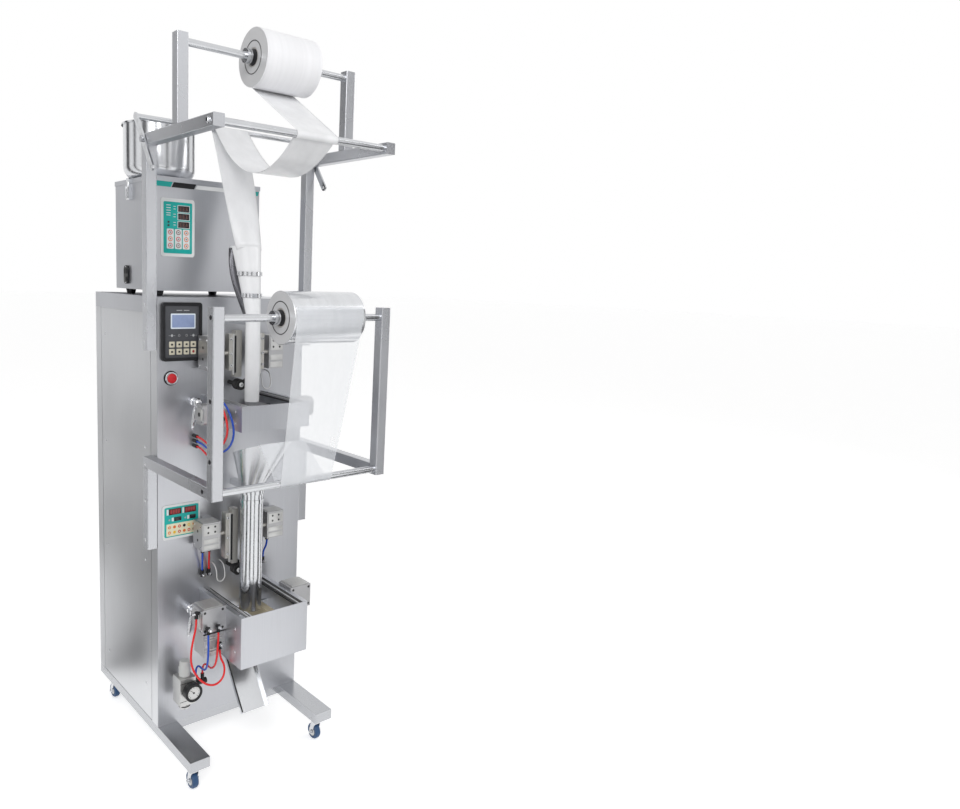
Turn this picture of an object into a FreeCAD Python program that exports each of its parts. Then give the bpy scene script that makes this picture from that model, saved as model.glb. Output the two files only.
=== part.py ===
import FreeCAD, Part
import math
import os
from types import SimpleNamespace

import Sketcher

# Vertical form fill seal machine, in millimetres.
# +X is the operator's right, the machine faces -Y and +Z is up.
# The origin lies on the floor under the middle of the whole machine.

SIZES = {
    # Cabinet: the front face lies at front_y, a little forward of the origin.
    "front_y": -15.5,
    "cabinet_width": 400,
    "cabinet_depth": 390,
    "cabinet_bottom": 90,
    "cabinet_top": 1140,
    "cap_height": 38,
    "plate_thickness": 3,
    "column_width": 36,
    "panel_recess": 1.5,
    "panel_seam": 2,
    "boss_radius": 9,
    "boss_length": 18,
    # Base frame and its casters
    "leg_width": 50,
    "leg_height": 25,
    "leg_reach": 175,
    "beam_setback": 5,
    "caster_front_inset": 29,
    "caster_rear_inset": 52,
    "caster_trail": 10,
    "wheel_radius": 20,
    "wheel_width": 15,
    "hub_radius": 13,
    "hub_recess": 2,
    "axle_radius": 3,
    "running_clearance": 0.1,
    "fork_thickness": 2,
    "fork_side_gap": 0.8,
    "fork_half_depth": 7,
    "swivel_radius": 13,
    "swivel_height": 9,
    "seat_gap": 0.3,
    "overlap": 1,
    "edge_chamfer": 2,
    # Filler on top of the cabinet
    "filler_left": -177,
    "filler_width": 289,
    "filler_setback": 80,
    "filler_depth": 222,
    "filler_foot_height": 13,
    "filler_foot_radius": 13,
    "filler_foot_taper": 3,
    "filler_foot_inset": 28,
    "filler_body_height": 254,
    "lid_height": 11,
    "lid_overhang": 1.5,
    "latch_width": 16,
    "latch_setback": 119,
    "latch_height": 52,
    "latch_drop": 39,
    "latch_thickness": 7,
    "switch_width": 26,
    "switch_setback": 135,
    "switch_height": 46,
    "switch_thickness": 5,
    "switch_flat": 0.5,
    "switch_rise": 35,
    "hopper_x": -108,
    "hopper_radius": 86,
    "hopper_height": 130,
    "hopper_corner": 30,
    "hopper_wall": 2,
    "hopper_lip": 4,
    # Control panels
    "controller_left": -191.4,
    "controller_width": 100,
    "controller_bottom": 994,
    "controller_height": 135,
    "controller_thickness": 9,
    "controller_rim": 7,
    "controller_face_depth": 3,
    "panel_corner": 7,
    "membrane_thickness": 2,
    "filler_panel_left": -156,
    "filler_panel_width": 87,
    "filler_panel_bottom": 1234,
    "filler_panel_height": 135,
    "heat_panel_left": -189,
    "heat_panel_width": 98,
    "heat_panel_bottom": 565,
    "heat_panel_height": 85,
    "button_x": -167,
    "button_z": 954,
    "bezel_radius": 15,
    "bezel_height": 6,
    "button_radius": 11.5,
    "button_height": 11,
    "button_skirt": 5,
    "button_side_gap": 0.5,
    "button_chamfer": 1,
    # Film frames: square tube, outboard of both cabinet sides
    "tube_size": 25,
    "tube_corner": 2,
    "upper_post_bottom": 1020,
    "upper_arm_bottom": 1470,
    "upper_arm_reach": 307,
    "upright_setback": 130,
    "upright_top": 1672,
    "lower_post_bottom": 549,
    "lower_arm_bottom": 745,
    "lower_arm_reach": 315,
    "lower_upright_top": 1133,
    "rod_radius": 8,
    "roll_rod_drop": 15,
    "lower_roll_rod_drop": 22,
    "collar_radius": 15,
    "collar_width": 12,
    # Dancer: two swing arms joined by a bar that tensions the upper film
    "dancer_pivot_setback": 8.4,
    "dancer_bar_setback": 48,
    "dancer_bar_rise": 53.5,
    "dancer_tail_reach": 38,
    "dancer_tail_drop": 63.5,
    "dancer_bar_radius": 6,
    "dancer_arm_width": 16,
    "dancer_arm_thickness": 4,
    "dancer_arm_gap": 1,
    "dancer_hole_radius": 3.5,
    "pivot_pin_radius": 4,
    "pivot_head_radius": 7,
    # Film rolls
    "upper_roll_left": -44,
    "upper_roll_width": 140,
    "upper_roll_radius": 61,
    "lower_roll_left": -64,
    "lower_roll_width": 182,
    "lower_roll_radius": 55.6,
    "core_radius": 39.5,
    "core_recess": 3,
    "chuck_radius": 16,
    "chuck_length": 8,
    "film_gap": 0.3,
    "film_thickness": 0.6,
    "upper_wrap_angle": 30,
    "lower_wrap_angle": 35,
    # Upper film path and former
    "upper_web_width": 110,
    "upper_web_end_width": 84,
    "loop_start_angle": -38,
    "loop_sag": 88,
    "upper_tube_setback": 86,
    "upper_tube_radius": 16.5,
    "upper_tube_bottom": 905,
    "funnel_neck_height": 1098,
    "funnel_height": 164,
    "funnel_top_radius": 36,
    "funnel_lean": 40,
    "band_height": 9,
    "wide_band_rise": 97,
    "narrow_band_rise": 47,
    "band_thickness": 1.2,
    "sleeve_overhang": 4,
    "bracket_width": 16,
    "bracket_height": 14,
    "bracket_drop": 4,
    # Lower film path and former
    "lower_web_width": 174,
    "lower_web_end_width": 120,
    "lower_tube_setback": 93,
    "lower_tube_radius": 27.5,
    "lower_tube_top": 777,
    "lower_tube_bottom": 388,
    "tube_wall": 1.5,
    "clamp_ring_z": 657,
    "collar_rim_front": 221,
    "collar_rim_half_width": 67,
    "collar_rim_front_z": 827,
    "collar_rim_back": 62,
    "collar_rim_back_z": 772,
    "collar_neck_z": 698,
    # Guard boxes with the transverse sealing jaws
    "upper_box_half_width": 90,
    "upper_box_reach": 196,
    "upper_box_bottom": 852,
    "upper_box_height": 58,
    "lower_box_half_width": 91,
    "lower_box_reach": 208,
    "lower_box_bottom": 300,
    "lower_box_height": 124,
    "box_sheet": 1.5,
    "box_lip": 12,
    "guide_radius": 5,
    "guide_clearance": 0.1,
    "guide_inset": 24,
    "jaw_thickness": 18,
    "upper_jaw_open": 27,
    "upper_jaw_height": 28,
    "upper_jaw_z": 862,
    "lower_jaw_open": 33,
    "lower_jaw_height": 40,
    "lower_jaw_z": 340,
    "jaw_end_gap": 8,
    # Vertical sealers behind the film tubes
    "upper_bar_inner": 14,
    "upper_bar_bottom": 957,
    "upper_bar_top": 1067,
    "lower_bar_inner": 18,
    "lower_bar_bottom": 496,
    "lower_bar_top": 634,
    "bar_thickness": 16,
    "bar_back": 40,
    "bar_front": 60,
    "carriage_gap": 14,
    "carriage_thickness": 18,
    "carriage_shorter": 16,
    "upper_block_outer": 103,
    "upper_block_bottom": 973,
    "upper_block_height": 80,
    "lower_block_outer": 114,
    "lower_block_bottom": 541,
    "lower_block_height": 68,
    "block_front": 60,
    "block_back": 12,
    "block_foot_width": 22,
    "piston_radius": 5,
    "piston_reach": 20,
    "piston_bore_depth": 30,
    # Film pull wheels
    "pull_wheel_radius": 13.2,
    "pull_wheel_offset": 13.5,
    "pull_wheel_width": 20,
    "pull_wheel_front": 57,
    "pull_shaft_radius": 5,
    "pull_shaft_proud": 2,
    "pull_hub_radius": 8.2,
    "pull_hub_recess": 3,
    "upper_wheel_z": 937,
    "lower_wheel_z": 475,
    # Jaw cylinders, handles, regulator and chute
    "jaw_cylinder_length": 60,
    "jaw_cylinder_front": 135,
    "jaw_cylinder_back": 82,
    "jaw_cylinder_bottom": 372,
    "jaw_cylinder_top": 430,
    "valve_bottom": 312,
    "valve_top": 366,
    "valve_length": 54,
    "valve_setback": 4,
    "upper_cylinder_half": 23,
    "upper_cylinder_corner": 14,
    "upper_cylinder_length": 58,
    "upper_cylinder_setback": 108.5,
    "upper_cylinder_rise": 32,
    "ball_radius": 12,
    "handle_length": 60,
    "handle_tip_radius": 4.5,
    "handle_root_radius": 6.5,
    "upper_handle_x": -116,
    "upper_handle_z": 897,
    "lower_handle_x": -124,
    "lower_handle_z": 386,
    "handle_angle": 13,
    "regulator_left": -172,
    "regulator_width": 40,
    "regulator_bottom": 165,
    "regulator_height": 68,
    "regulator_front": 65,
    "regulator_back": 25,
    "regulator_bracket_half": 10,
    "regulator_bracket_inset": 20,
    "knob_radius": 14,
    "knob_height": 38,
    "gauge_radius": 21,
    "gauge_depth": 16,
    "gauge_stem": 4,
    "gauge_stem_radius": 7,
    "gauge_x": -147,
    "gauge_z": 204,
    "bowl_radius": 13,
    "bowl_height": 14,
    "chute_width": 75,
    "chute_wall": 1.5,
    "chute_flange": 12,
    "chute_length": 200,
    "chute_angle": 53,
    "chute_top_z": 289,
    "chute_tab_drop": 25,
    "chute_tab_rise": 8,
    # Push-in fittings, air hoses and heater cables
    "port_radius": 4.5,
    "stub_radius": 4,
    "port_length": 16,
    "elbow_rise": 8,
    "elbow_reach": 10,
    "hose_diameter": 5,
    "cable_diameter": 3,
    "upper_port_x": -108,
    "upper_port_z": 813,
    "upper_port_pitch": 12,
    "cylinder_port_x": -106,
    "cylinder_port_pitch": 14,
    "stack_port_x": -114,
    "stack_port_z": 386,
    "stack_port_pitch": 26,
    "supply_port_inset": 15.5,
    "supply_port_z": 420,
    "valve_port_x": -108,
    "valve_port_z": 340,
    "tee_length": 38,
    "tee_radius": 7,
    "tee_inset": 10,
    "tee_pitch": 18,
    "tee_rise": 18,
    "sealer_port_x": 74,
    "sealer_port_pitch": 18,
    "sealer_port_setback": 18.5,
    "sealer_lead": 16,
    "plate_port_x": 69,
    "plate_port_z": 462,
    "cable_span": 24,
    "heater_cable_x": 34,
    "lower_cable_z": 486,
    "upper_cable_x": 64,
    "upper_cable_z": 962,
}

doc = FreeCAD.newDocument("form_fill_seal_machine")
sheet = doc.addObject("Spreadsheet::Sheet", "Sizes")
for row, (alias, number) in enumerate(SIZES.items(), 1):
    sheet.set(f"A{row}", alias.replace("_", " "))
    sheet.set(f"B{row}", str(number))
    sheet.setAlias(f"B{row}", alias)
doc.recompute()


class Value:
    """A size worked out from the sheet: its number now, and the expression that keeps it bound."""

    def __init__(self, number, text):
        self.number = float(number)
        self.text = text

    def __add__(self, other):
        other = as_value(other)
        return Value(self.number + other.number, f"({self.text} + {other.text})")

    def __radd__(self, other):
        return as_value(other) + self

    def __sub__(self, other):
        other = as_value(other)
        return Value(self.number - other.number, f"({self.text} - {other.text})")

    def __rsub__(self, other):
        return as_value(other) - self

    def __mul__(self, other):
        other = as_value(other)
        return Value(self.number * other.number, f"({self.text} * {other.text})")

    def __rmul__(self, other):
        return as_value(other) * self

    def __truediv__(self, other):
        other = as_value(other)
        return Value(self.number / other.number, f"({self.text} / {other.text})")

    def __neg__(self):
        return Value(-self.number, f"(0 - {self.text})")


def as_value(item):
    """A plain number becomes a value; a value stays as it is."""
    if isinstance(item, Value):
        return item
    return Value(item, str(item))


size = SimpleNamespace(**{alias: Value(sheet.get(alias), "Sizes." + alias) for alias in SIZES})
nodes = []
LEFT = -1
RIGHT = 1
SIDES = ((LEFT, "left"), (RIGHT, "right"))
BEND_SHARE = 0.45

# Places that several pieces share
cabinet_side = size.cabinet_width / 2
cabinet_back = size.front_y + size.cabinet_depth
leg_top = size.cabinet_bottom
leg_bottom = size.cabinet_bottom - size.leg_height
tube_outside = cabinet_side + size.tube_size
upper_rod_y = size.front_y - size.upright_setback - size.tube_size / 2
upper_rod_z = size.upright_top - size.roll_rod_drop
guide_rod_y = size.front_y - size.upper_arm_reach + size.tube_size / 2
guide_rod_z = size.upper_arm_bottom + size.tube_size / 2
lower_rod_y = size.front_y - size.lower_arm_reach + size.tube_size / 2
lower_roll_rod_z = size.lower_upright_top - size.lower_roll_rod_drop
lower_guide_rod_z = size.lower_arm_bottom + size.tube_size / 2
dancer_pivot_y = size.front_y + size.dancer_pivot_setback
dancer_bar_y = size.front_y + size.dancer_bar_setback
dancer_bar_z = guide_rod_z + size.dancer_bar_rise
dancer_tail_z = guide_rod_z - size.dancer_tail_drop
funnel_top_z = size.funnel_neck_height + size.funnel_height
upper_tube_y = size.front_y - size.upper_tube_setback
lower_tube_y = size.front_y - size.lower_tube_setback
funnel_top_y = upper_tube_y + size.funnel_lean
upper_cylinder_y = size.front_y - size.upper_cylinder_setback
upper_cylinder_z = size.upper_box_bottom + size.upper_cylinder_rise
stack_front = size.front_y - size.jaw_cylinder_front
valve_front = stack_front + size.valve_setback
block_middle_y = size.front_y - (size.block_front + size.block_back) / 2
filler_front = size.front_y + size.filler_setback
filler_back = filler_front + size.filler_depth
filler_right = size.filler_left + size.filler_width
filler_bottom = size.cabinet_top + size.filler_foot_height
lid_bottom = filler_bottom + size.filler_body_height
lid_top = lid_bottom + size.lid_height


def bind(thing, **values):
    """Tie properties of a feature to the sheet."""
    for name, value in values.items():
        thing.setExpression(name, as_value(value).text)


def place(thing, x=0, y=0, z=0, axis=None, angle=0):
    """Put a piece at a bound point, turned by a fixed angle about an axis."""
    if axis is not None:
        thing.Placement = FreeCAD.Placement(FreeCAD.Vector(), FreeCAD.Rotation(FreeCAD.Vector(*axis), angle))
    for name, value in (("x", x), ("y", y), ("z", z)):
        thing.setExpression(f"Placement.Base.{name}", as_value(value).text)
    return thing


def node(thing, label):
    """Name a finished piece and keep it for the export."""
    thing.Label = label
    nodes.append(thing)
    return thing


def box(x0, x1, y0, y1, z0, z1):
    """A plain block between two bound corners."""
    block = doc.addObject("Part::Box", "Block")
    bind(block, Length=as_value(x1) - x0, Width=as_value(y1) - y0, Height=as_value(z1) - z0)
    return place(block, x0, y0, z0)


def cylinder(axis, start, end, u, v, radius):
    """A round bar along X, Y or Z from start to end, centred on the other two coordinates."""
    bar_shape = doc.addObject("Part::Cylinder", "Cylinder")
    bind(bar_shape, Radius=radius, Height=as_value(end) - start)
    if axis == "X":
        return place(bar_shape, start, u, v, (0, 1, 0), 90)
    if axis == "Y":
        return place(bar_shape, u, start, v, (1, 0, 0), -90)
    return place(bar_shape, u, v, start)


def fused(parts):
    """One solid made of parts that touch or overlap."""
    fusion = doc.addObject("Part::MultiFuse", "Fusion")
    fusion.Shapes = parts
    fusion.Refine = True
    return fusion


def grouped(parts):
    """Like pieces that don't touch, kept together."""
    group = doc.addObject("Part::Compound", "Group")
    group.Links = parts
    return group


def cut(base, *tools):
    """A piece with the tools' shapes taken away."""
    for tool in tools:
        difference = doc.addObject("Part::Cut", "Cut")
        difference.Base = base
        difference.Tool = tool
        base = difference
    return base


def new_body():
    """An empty body for sketched features."""
    return doc.addObject("PartDesign::Body", "Body")


def new_sketch(body, role, offset=0):
    """A sketch on one of the body's own origin planes, moved along its normal."""
    plane = next(item for item in body.Origin.OriginFeatures if item.Role == role)
    sketch = body.newObject("Sketcher::SketchObject", "Sketch")
    sketch.AttachmentSupport = [(plane, "")]
    sketch.MapMode = "FlatFace"
    sketch.setExpression("AttachmentOffset.Base.z", as_value(offset).text)
    return sketch


def pin_point(sketch, geometry, point, x, y):
    """Tie one point of a sketch to bound coordinates."""
    for kind, value in (("DistanceX", as_value(x)), ("DistanceY", as_value(y))):
        number = sketch.addConstraint(Sketcher.Constraint(kind, geometry, point, value.number))
        sketch.setExpression(f"Constraints[{number}]", value.text)


def draw_polygon(sketch, corners):
    """A closed outline of straight lines through bound corners."""
    first = sketch.GeometryCount
    count = len(corners)
    points = [FreeCAD.Vector(as_value(x).number, as_value(y).number, 0) for x, y in corners]
    for index in range(count):
        sketch.addGeometry(Part.LineSegment(points[index], points[(index + 1) % count]))
    for index in range(count):
        following = first + (index + 1) % count
        sketch.addConstraint(Sketcher.Constraint("Coincident", first + index, 2, following, 1))
    for index, (x, y) in enumerate(corners):
        pin_point(sketch, first + index, 1, x, y)


def draw_circle(sketch, x, y, radius):
    """A circle with a bound centre and radius."""
    radius = as_value(radius)
    centre = FreeCAD.Vector(as_value(x).number, as_value(y).number, 0)
    index = sketch.addGeometry(Part.Circle(centre, FreeCAD.Vector(0, 0, 1), radius.number))
    pin_point(sketch, index, 3, x, y)
    number = sketch.addConstraint(Sketcher.Constraint("Radius", index, radius.number))
    sketch.setExpression(f"Constraints[{number}]", radius.text)


def draw_rounded_box(sketch, x0, x1, y0, y1, radius):
    """A rectangle with four equal round corners."""
    x0, x1, y0, y1, radius = (as_value(item) for item in (x0, x1, y0, y1, radius))
    centres = ((x1 - radius, y1 - radius), (x0 + radius, y1 - radius),
               (x0 + radius, y0 + radius), (x1 - radius, y0 + radius))
    first = sketch.GeometryCount
    up = FreeCAD.Vector(0, 0, 1)
    ends = []
    for quarter, (x, y) in enumerate(centres):
        centre = FreeCAD.Vector(x.number, y.number, 0)
        start = quarter * math.pi / 2
        circle = Part.Circle(centre, up, radius.number)
        sketch.addGeometry(Part.ArcOfCircle(circle, start, start + math.pi / 2))
        ends.append((circle.value(start), circle.value(start + math.pi / 2)))
    for quarter in range(4):
        following = (quarter + 1) % 4
        sketch.addGeometry(Part.LineSegment(ends[quarter][1], ends[following][0]))
    for quarter, (x, y) in enumerate(centres):
        following = (quarter + 1) % 4
        line = first + 4 + quarter
        sketch.addConstraint(Sketcher.Constraint("Tangent", first + quarter, 2, line, 1))
        sketch.addConstraint(Sketcher.Constraint("Tangent", line, 2, first + following, 1))
        pin_point(sketch, first + quarter, 3, x, y)
    number = sketch.addConstraint(Sketcher.Constraint("Radius", first, radius.number))
    sketch.setExpression(f"Constraints[{number}]", radius.text)
    for quarter in range(1, 4):
        sketch.addConstraint(Sketcher.Constraint("Equal", first, first + quarter))


def pad(body, sketch, length, midplane=False, reverse=False):
    """Raise a sketch into a solid."""
    feature = body.newObject("PartDesign::Pad", "Pad")
    feature.Profile = sketch
    feature.Midplane = midplane
    feature.Reversed = reverse
    bind(feature, Length=length)
    return feature


def pocket(body, sketch, length, midplane=False, reverse=False):
    """Cut a sketch out of the solid, and make sure that it removed something."""
    doc.recompute()
    before = body.Shape.Volume
    feature = body.newObject("PartDesign::Pocket", "Pocket")
    feature.Profile = sketch
    feature.Midplane = midplane
    feature.Reversed = reverse
    bind(feature, Length=length)
    doc.recompute()
    if body.Shape.Volume >= before:
        raise RuntimeError(f"{body.Label}: a pocket removed nothing")
    return feature


def turned(corners):
    """A body of revolution about its own Z axis, from corners given as (radius, height)."""
    body = new_body()
    sketch = new_sketch(body, "XZ_Plane")
    draw_polygon(sketch, corners)
    feature = body.newObject("PartDesign::Revolution", "Revolution")
    feature.Profile = sketch
    feature.ReferenceAxis = (sketch, ["V_Axis"])
    feature.Angle = 360
    return body


def round_edges(body, radius, wanted):
    """Fillet the edges that pass a test on the edge's own shape."""
    doc.recompute()
    tip = body.Tip
    names = [f"Edge{index}" for index, edge in enumerate(tip.Shape.Edges, 1) if wanted(edge)]
    feature = body.newObject("PartDesign::Fillet", "Fillet")
    feature.Base = (tip, names)
    bind(feature, Radius=radius)
    return feature


def square_bar(axis, start, end, u0, u1, v0, v1):
    """A closed square tube along one axis, with its four long edges rounded."""
    body = new_body()
    start = as_value(start)
    end = as_value(end)
    role, offset = {
        "X": ("YZ_Plane", start),
        "Y": ("XZ_Plane", -end),
        "Z": ("XY_Plane", start),
    }[axis]
    sketch = new_sketch(body, role, offset)
    draw_rounded_box(sketch, u0, u1, v0, v1, size.tube_corner)
    pad(body, sketch, end - start)
    return body


def side_range(side, inner, outer):
    """The low and high X of a piece that spans inner to outer on one side of the middle."""
    inner = as_value(inner)
    outer = as_value(outer)
    return (inner, outer) if side == RIGHT else (-outer, -inner)


def make_base_frame():
    """Two long legs and two cross beams, welded flush."""
    front = size.front_y - size.leg_reach
    inside = cabinet_side - size.leg_width
    bars = [box(*side_range(side, inside, cabinet_side), front, cabinet_back, leg_bottom, leg_top)
            for side, _ in SIDES]
    front_beam = size.front_y + size.beam_setback
    back_beam = cabinet_back - size.beam_setback
    bars.append(box(-inside, inside, front_beam, front_beam + size.leg_width, leg_bottom, leg_top))
    bars.append(box(-inside, inside, back_beam - size.leg_width, back_beam, leg_bottom, leg_top))
    node(fused(bars), "base_frame")


def make_casters():
    """Four swivel casters under the ends of the legs: forks and wheels."""
    x_offset = cabinet_side - size.leg_width / 2
    places = (("front", size.front_y - size.leg_reach + size.caster_front_inset),
              ("rear", cabinet_back - size.caster_rear_inset))
    for side, side_name in SIDES:
        for end_name, y in places:
            name = f"{end_name}_{side_name}"
            node(place(make_fork(), side * x_offset, y), f"caster_fork_{name}")
            node(place(make_wheel(), side * x_offset, y + size.caster_trail, size.wheel_radius,
                       (0, 1, 0), 90), f"caster_wheel_{name}")


def make_fork():
    """Swivel head, arched bridge, two cheeks and the axle, as one steel piece."""
    body = new_body()
    top = leg_bottom - size.seat_gap
    head_bottom = top - size.swivel_height
    half_slot = size.wheel_width / 2 + size.fork_side_gap
    half_width = half_slot + size.fork_thickness
    slot_top = size.wheel_radius * 2 + size.fork_thickness * 2
    foot = size.axle_radius * 2
    cheeks = new_sketch(body, "YZ_Plane")
    draw_polygon(cheeks, (
        (-size.fork_half_depth, head_bottom),
        (size.caster_trail - foot, size.wheel_radius - size.axle_radius),
        (size.caster_trail - size.axle_radius, size.wheel_radius - foot),
        (size.caster_trail + size.axle_radius, size.wheel_radius - foot),
        (size.caster_trail + foot, size.wheel_radius - size.axle_radius),
        (size.caster_trail + foot, size.wheel_radius + foot),
        (size.fork_half_depth + size.fork_thickness, head_bottom),
    ))
    pad(body, cheeks, half_width * 2, midplane=True)
    slot = new_sketch(body, "XZ_Plane")
    draw_polygon(slot, ((-half_slot, 0), (half_slot, 0), (half_slot, slot_top), (-half_slot, slot_top)))
    pocket(body, slot, size.wheel_radius * 4, midplane=True)
    head = new_sketch(body, "XY_Plane", head_bottom)
    draw_circle(head, 0, 0, size.swivel_radius)
    pad(body, head, size.swivel_height)
    axle = new_sketch(body, "YZ_Plane")
    draw_circle(axle, size.caster_trail, size.wheel_radius, size.axle_radius)
    pad(body, axle, (half_width + size.fork_thickness / 2) * 2, midplane=True)
    return body


def make_wheel():
    """A tyre with a crowned tread, a recessed hub and a bore, turned about its axle."""
    half = size.wheel_width / 2
    bore = size.axle_radius + size.running_clearance
    crown = size.wheel_width / 5
    face = half - size.hub_recess
    hub_end = size.axle_radius * 2
    return turned((
        (bore, -half), (hub_end, -half), (hub_end, -face), (size.hub_radius, -face),
        (size.hub_radius, -half), (size.wheel_radius - size.hub_recess, -half),
        (size.wheel_radius, crown - half), (size.wheel_radius, half - crown),
        (size.wheel_radius - size.hub_recess, half), (size.hub_radius, half),
        (size.hub_radius, face), (hub_end, face), (hub_end, half), (bore, half),
    ))


def make_cabinet():
    """Closed housing with recessed side panels, a thick front plate and a top cap."""
    body_front = size.front_y + size.plate_thickness
    cap_bottom = size.cabinet_top - size.cap_height
    housing = box(-cabinet_side, cabinet_side, body_front, cabinet_back, size.cabinet_bottom, cap_bottom)
    panel_front = size.front_y + size.column_width
    panel_back = cabinet_back - size.column_width
    panel_inner = cabinet_side - size.panel_recess
    recesses = []
    panels = []
    for side, name in SIDES:
        low, high = side_range(side, panel_inner, cabinet_side)
        seam = size.panel_seam
        recesses.append(box(low, high, panel_front, panel_back, size.cabinet_bottom, cap_bottom))
        panels.append(box(low, high, panel_front + seam, panel_back - seam,
                          size.cabinet_bottom + seam, cap_bottom - seam))
    node(cut(housing, *recesses), "cabinet_housing")
    node(grouped(panels), "side_panels")
    node(box(-cabinet_side, cabinet_side, body_front, cabinet_back, cap_bottom, size.cabinet_top), "top_cap")
    plate = box(-cabinet_side, cabinet_side, size.front_y, body_front, size.cabinet_bottom, size.cabinet_top)
    boss_front = size.front_y - size.boss_length
    bosses = [cylinder("Y", boss_front, size.front_y + size.overlap, x, z, size.boss_radius)
              for x, z in ((size.upper_handle_x, size.upper_handle_z),
                           (size.lower_handle_x, size.lower_handle_z))]
    node(fused([plate] + bosses), "front_plate")


def make_filler():
    """Weighing filler: box on four feet, hinged lid with latches, power inlet and hopper."""
    node(box(size.filler_left, filler_right, filler_front, filler_back, filler_bottom, lid_bottom),
         "filler_housing")
    lap = size.lid_overhang
    node(box(size.filler_left - lap, filler_right + lap, filler_front - lap, filler_back + lap,
             lid_bottom, lid_top), "filler_lid")
    feet = []
    inset = size.filler_foot_inset
    for x in (size.filler_left + inset, filler_right - inset):
        for y in (filler_front + inset, filler_back - inset):
            foot = doc.addObject("Part::Cone", "Foot")
            bind(foot, Radius1=size.filler_foot_radius - size.filler_foot_taper,
                 Radius2=size.filler_foot_radius, Height=size.filler_foot_height)
            feet.append(place(foot, x, y, size.cabinet_top))
    node(grouped(feet), "filler_feet")
    latch_y = filler_front + size.latch_setback
    latch_bottom = lid_bottom - size.latch_drop
    latches = []
    for x0, x1 in ((size.filler_left - size.latch_thickness, size.filler_left - lap),
                   (filler_right + lap, filler_right + size.latch_thickness)):
        latches.append(box(x0, x1, latch_y, latch_y + size.latch_width,
                           latch_bottom, latch_bottom + size.latch_height))
    pads = []
    for x0, x1 in ((size.filler_left - lap, size.filler_left), (filler_right, filler_right + lap)):
        pads.append(box(x0, x1, latch_y, latch_y + size.latch_width, latch_bottom, lid_bottom))
    node(grouped([fused([latches[0], pads[0]]), fused([latches[1], pads[1]])]), "filler_latches")
    make_power_inlet(filler_front + size.switch_setback)
    make_hopper()


def make_power_inlet(y):
    """Oval switched inlet low on the filler's left side."""
    body = new_body()
    sketch = new_sketch(body, "YZ_Plane", size.filler_left)
    bottom = filler_bottom + size.switch_rise - size.switch_height / 2
    draw_rounded_box(sketch, y, y + size.switch_width, bottom, bottom + size.switch_height,
                     size.switch_width / 2 - size.switch_flat)
    pad(body, sketch, size.switch_thickness, reverse=True)
    node(body, "power_inlet")


def make_hopper():
    """Round feed pot with a curved bottom corner and a rolled lip, open at the top."""
    radius = size.hopper_radius
    wall = size.hopper_wall
    body = turned((
        (0, 0), (radius, 0), (radius, size.hopper_height - size.hopper_lip),
        (radius + size.hopper_lip, size.hopper_height - size.hopper_lip),
        (radius + size.hopper_lip, size.hopper_height), (radius - wall, size.hopper_height),
        (radius - wall, wall), (0, wall),
    ))
    half_way = size.hopper_height.number / 2

    def bottom_rim(edge, rim_radius):
        is_round = isinstance(edge.Curve, Part.Circle)
        return is_round and edge.BoundBox.ZMax < half_way and math.isclose(edge.Curve.Radius, rim_radius)

    inner = radius.number - wall.number
    round_edges(body, size.hopper_corner - wall, lambda edge: bottom_rim(edge, inner))
    round_edges(body, size.hopper_corner, lambda edge: bottom_rim(edge, radius.number))
    middle = filler_front + size.filler_depth / 2
    node(place(body, size.hopper_x, middle, lid_top), "hopper")


def make_panels():
    """Key panels on the filler and cabinet, the controller and the stop button."""
    membranes = []
    for left, width, bottom, height, face in (
            (size.filler_panel_left, size.filler_panel_width, size.filler_panel_bottom,
             size.filler_panel_height, filler_front),
            (size.heat_panel_left, size.heat_panel_width, size.heat_panel_bottom,
             size.heat_panel_height, size.front_y)):
        body = new_body()
        sketch = new_sketch(body, "XZ_Plane", -face)
        draw_rounded_box(sketch, left, left + width, bottom, bottom + height, size.panel_corner)
        pad(body, sketch, size.membrane_thickness)
        membranes.append(body)
    node(grouped(membranes), "membrane_panels")
    body = new_body()
    left = size.controller_left
    bottom = size.controller_bottom
    right = left + size.controller_width
    top = bottom + size.controller_height
    rim = size.controller_rim
    outline = new_sketch(body, "XZ_Plane", -size.front_y)
    draw_rounded_box(outline, left, right, bottom, top, size.panel_corner)
    pad(body, outline, size.controller_thickness)
    face = new_sketch(body, "XZ_Plane", size.controller_thickness - size.front_y)
    draw_rounded_box(face, left + rim, right - rim, bottom + rim, top - rim, size.panel_corner / 2)
    pocket(body, face, size.controller_face_depth)
    node(body, "controller")
    bore = size.button_radius + size.button_side_gap
    edge = size.bezel_radius - size.edge_chamfer
    bezel = turned((
        (bore, 0), (size.bezel_radius, 0), (size.bezel_radius, size.bezel_height - size.edge_chamfer),
        (edge, size.bezel_height), (bore, size.bezel_height),
    ))
    node(place(bezel, size.button_x, size.front_y, size.button_z, (1, 0, 0), 90), "button_bezel")
    shoulder = size.button_height - size.button_chamfer
    cap = turned((
        (0, size.button_skirt), (size.button_radius, size.button_skirt), (size.button_radius, shoulder),
        (size.button_radius - size.button_chamfer, size.button_height), (0, size.button_height),
    ))
    node(place(cap, size.button_x, size.front_y, size.button_z, (1, 0, 0), 90), "stop_button")


def make_pivot_pin(side):
    """Headed pin on the outside of an upper arm, on which the dancer swings."""
    head_inner = tube_outside + size.dancer_arm_gap + size.dancer_arm_thickness + size.seat_gap
    shank = cylinder("X", *side_range(side, tube_outside, head_inner), dancer_pivot_y, guide_rod_z,
                     size.pivot_pin_radius)
    head = cylinder("X", *side_range(side, head_inner, head_inner + size.dancer_arm_thickness),
                    dancer_pivot_y, guide_rod_z, size.pivot_head_radius)
    return [shank, head]


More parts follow.
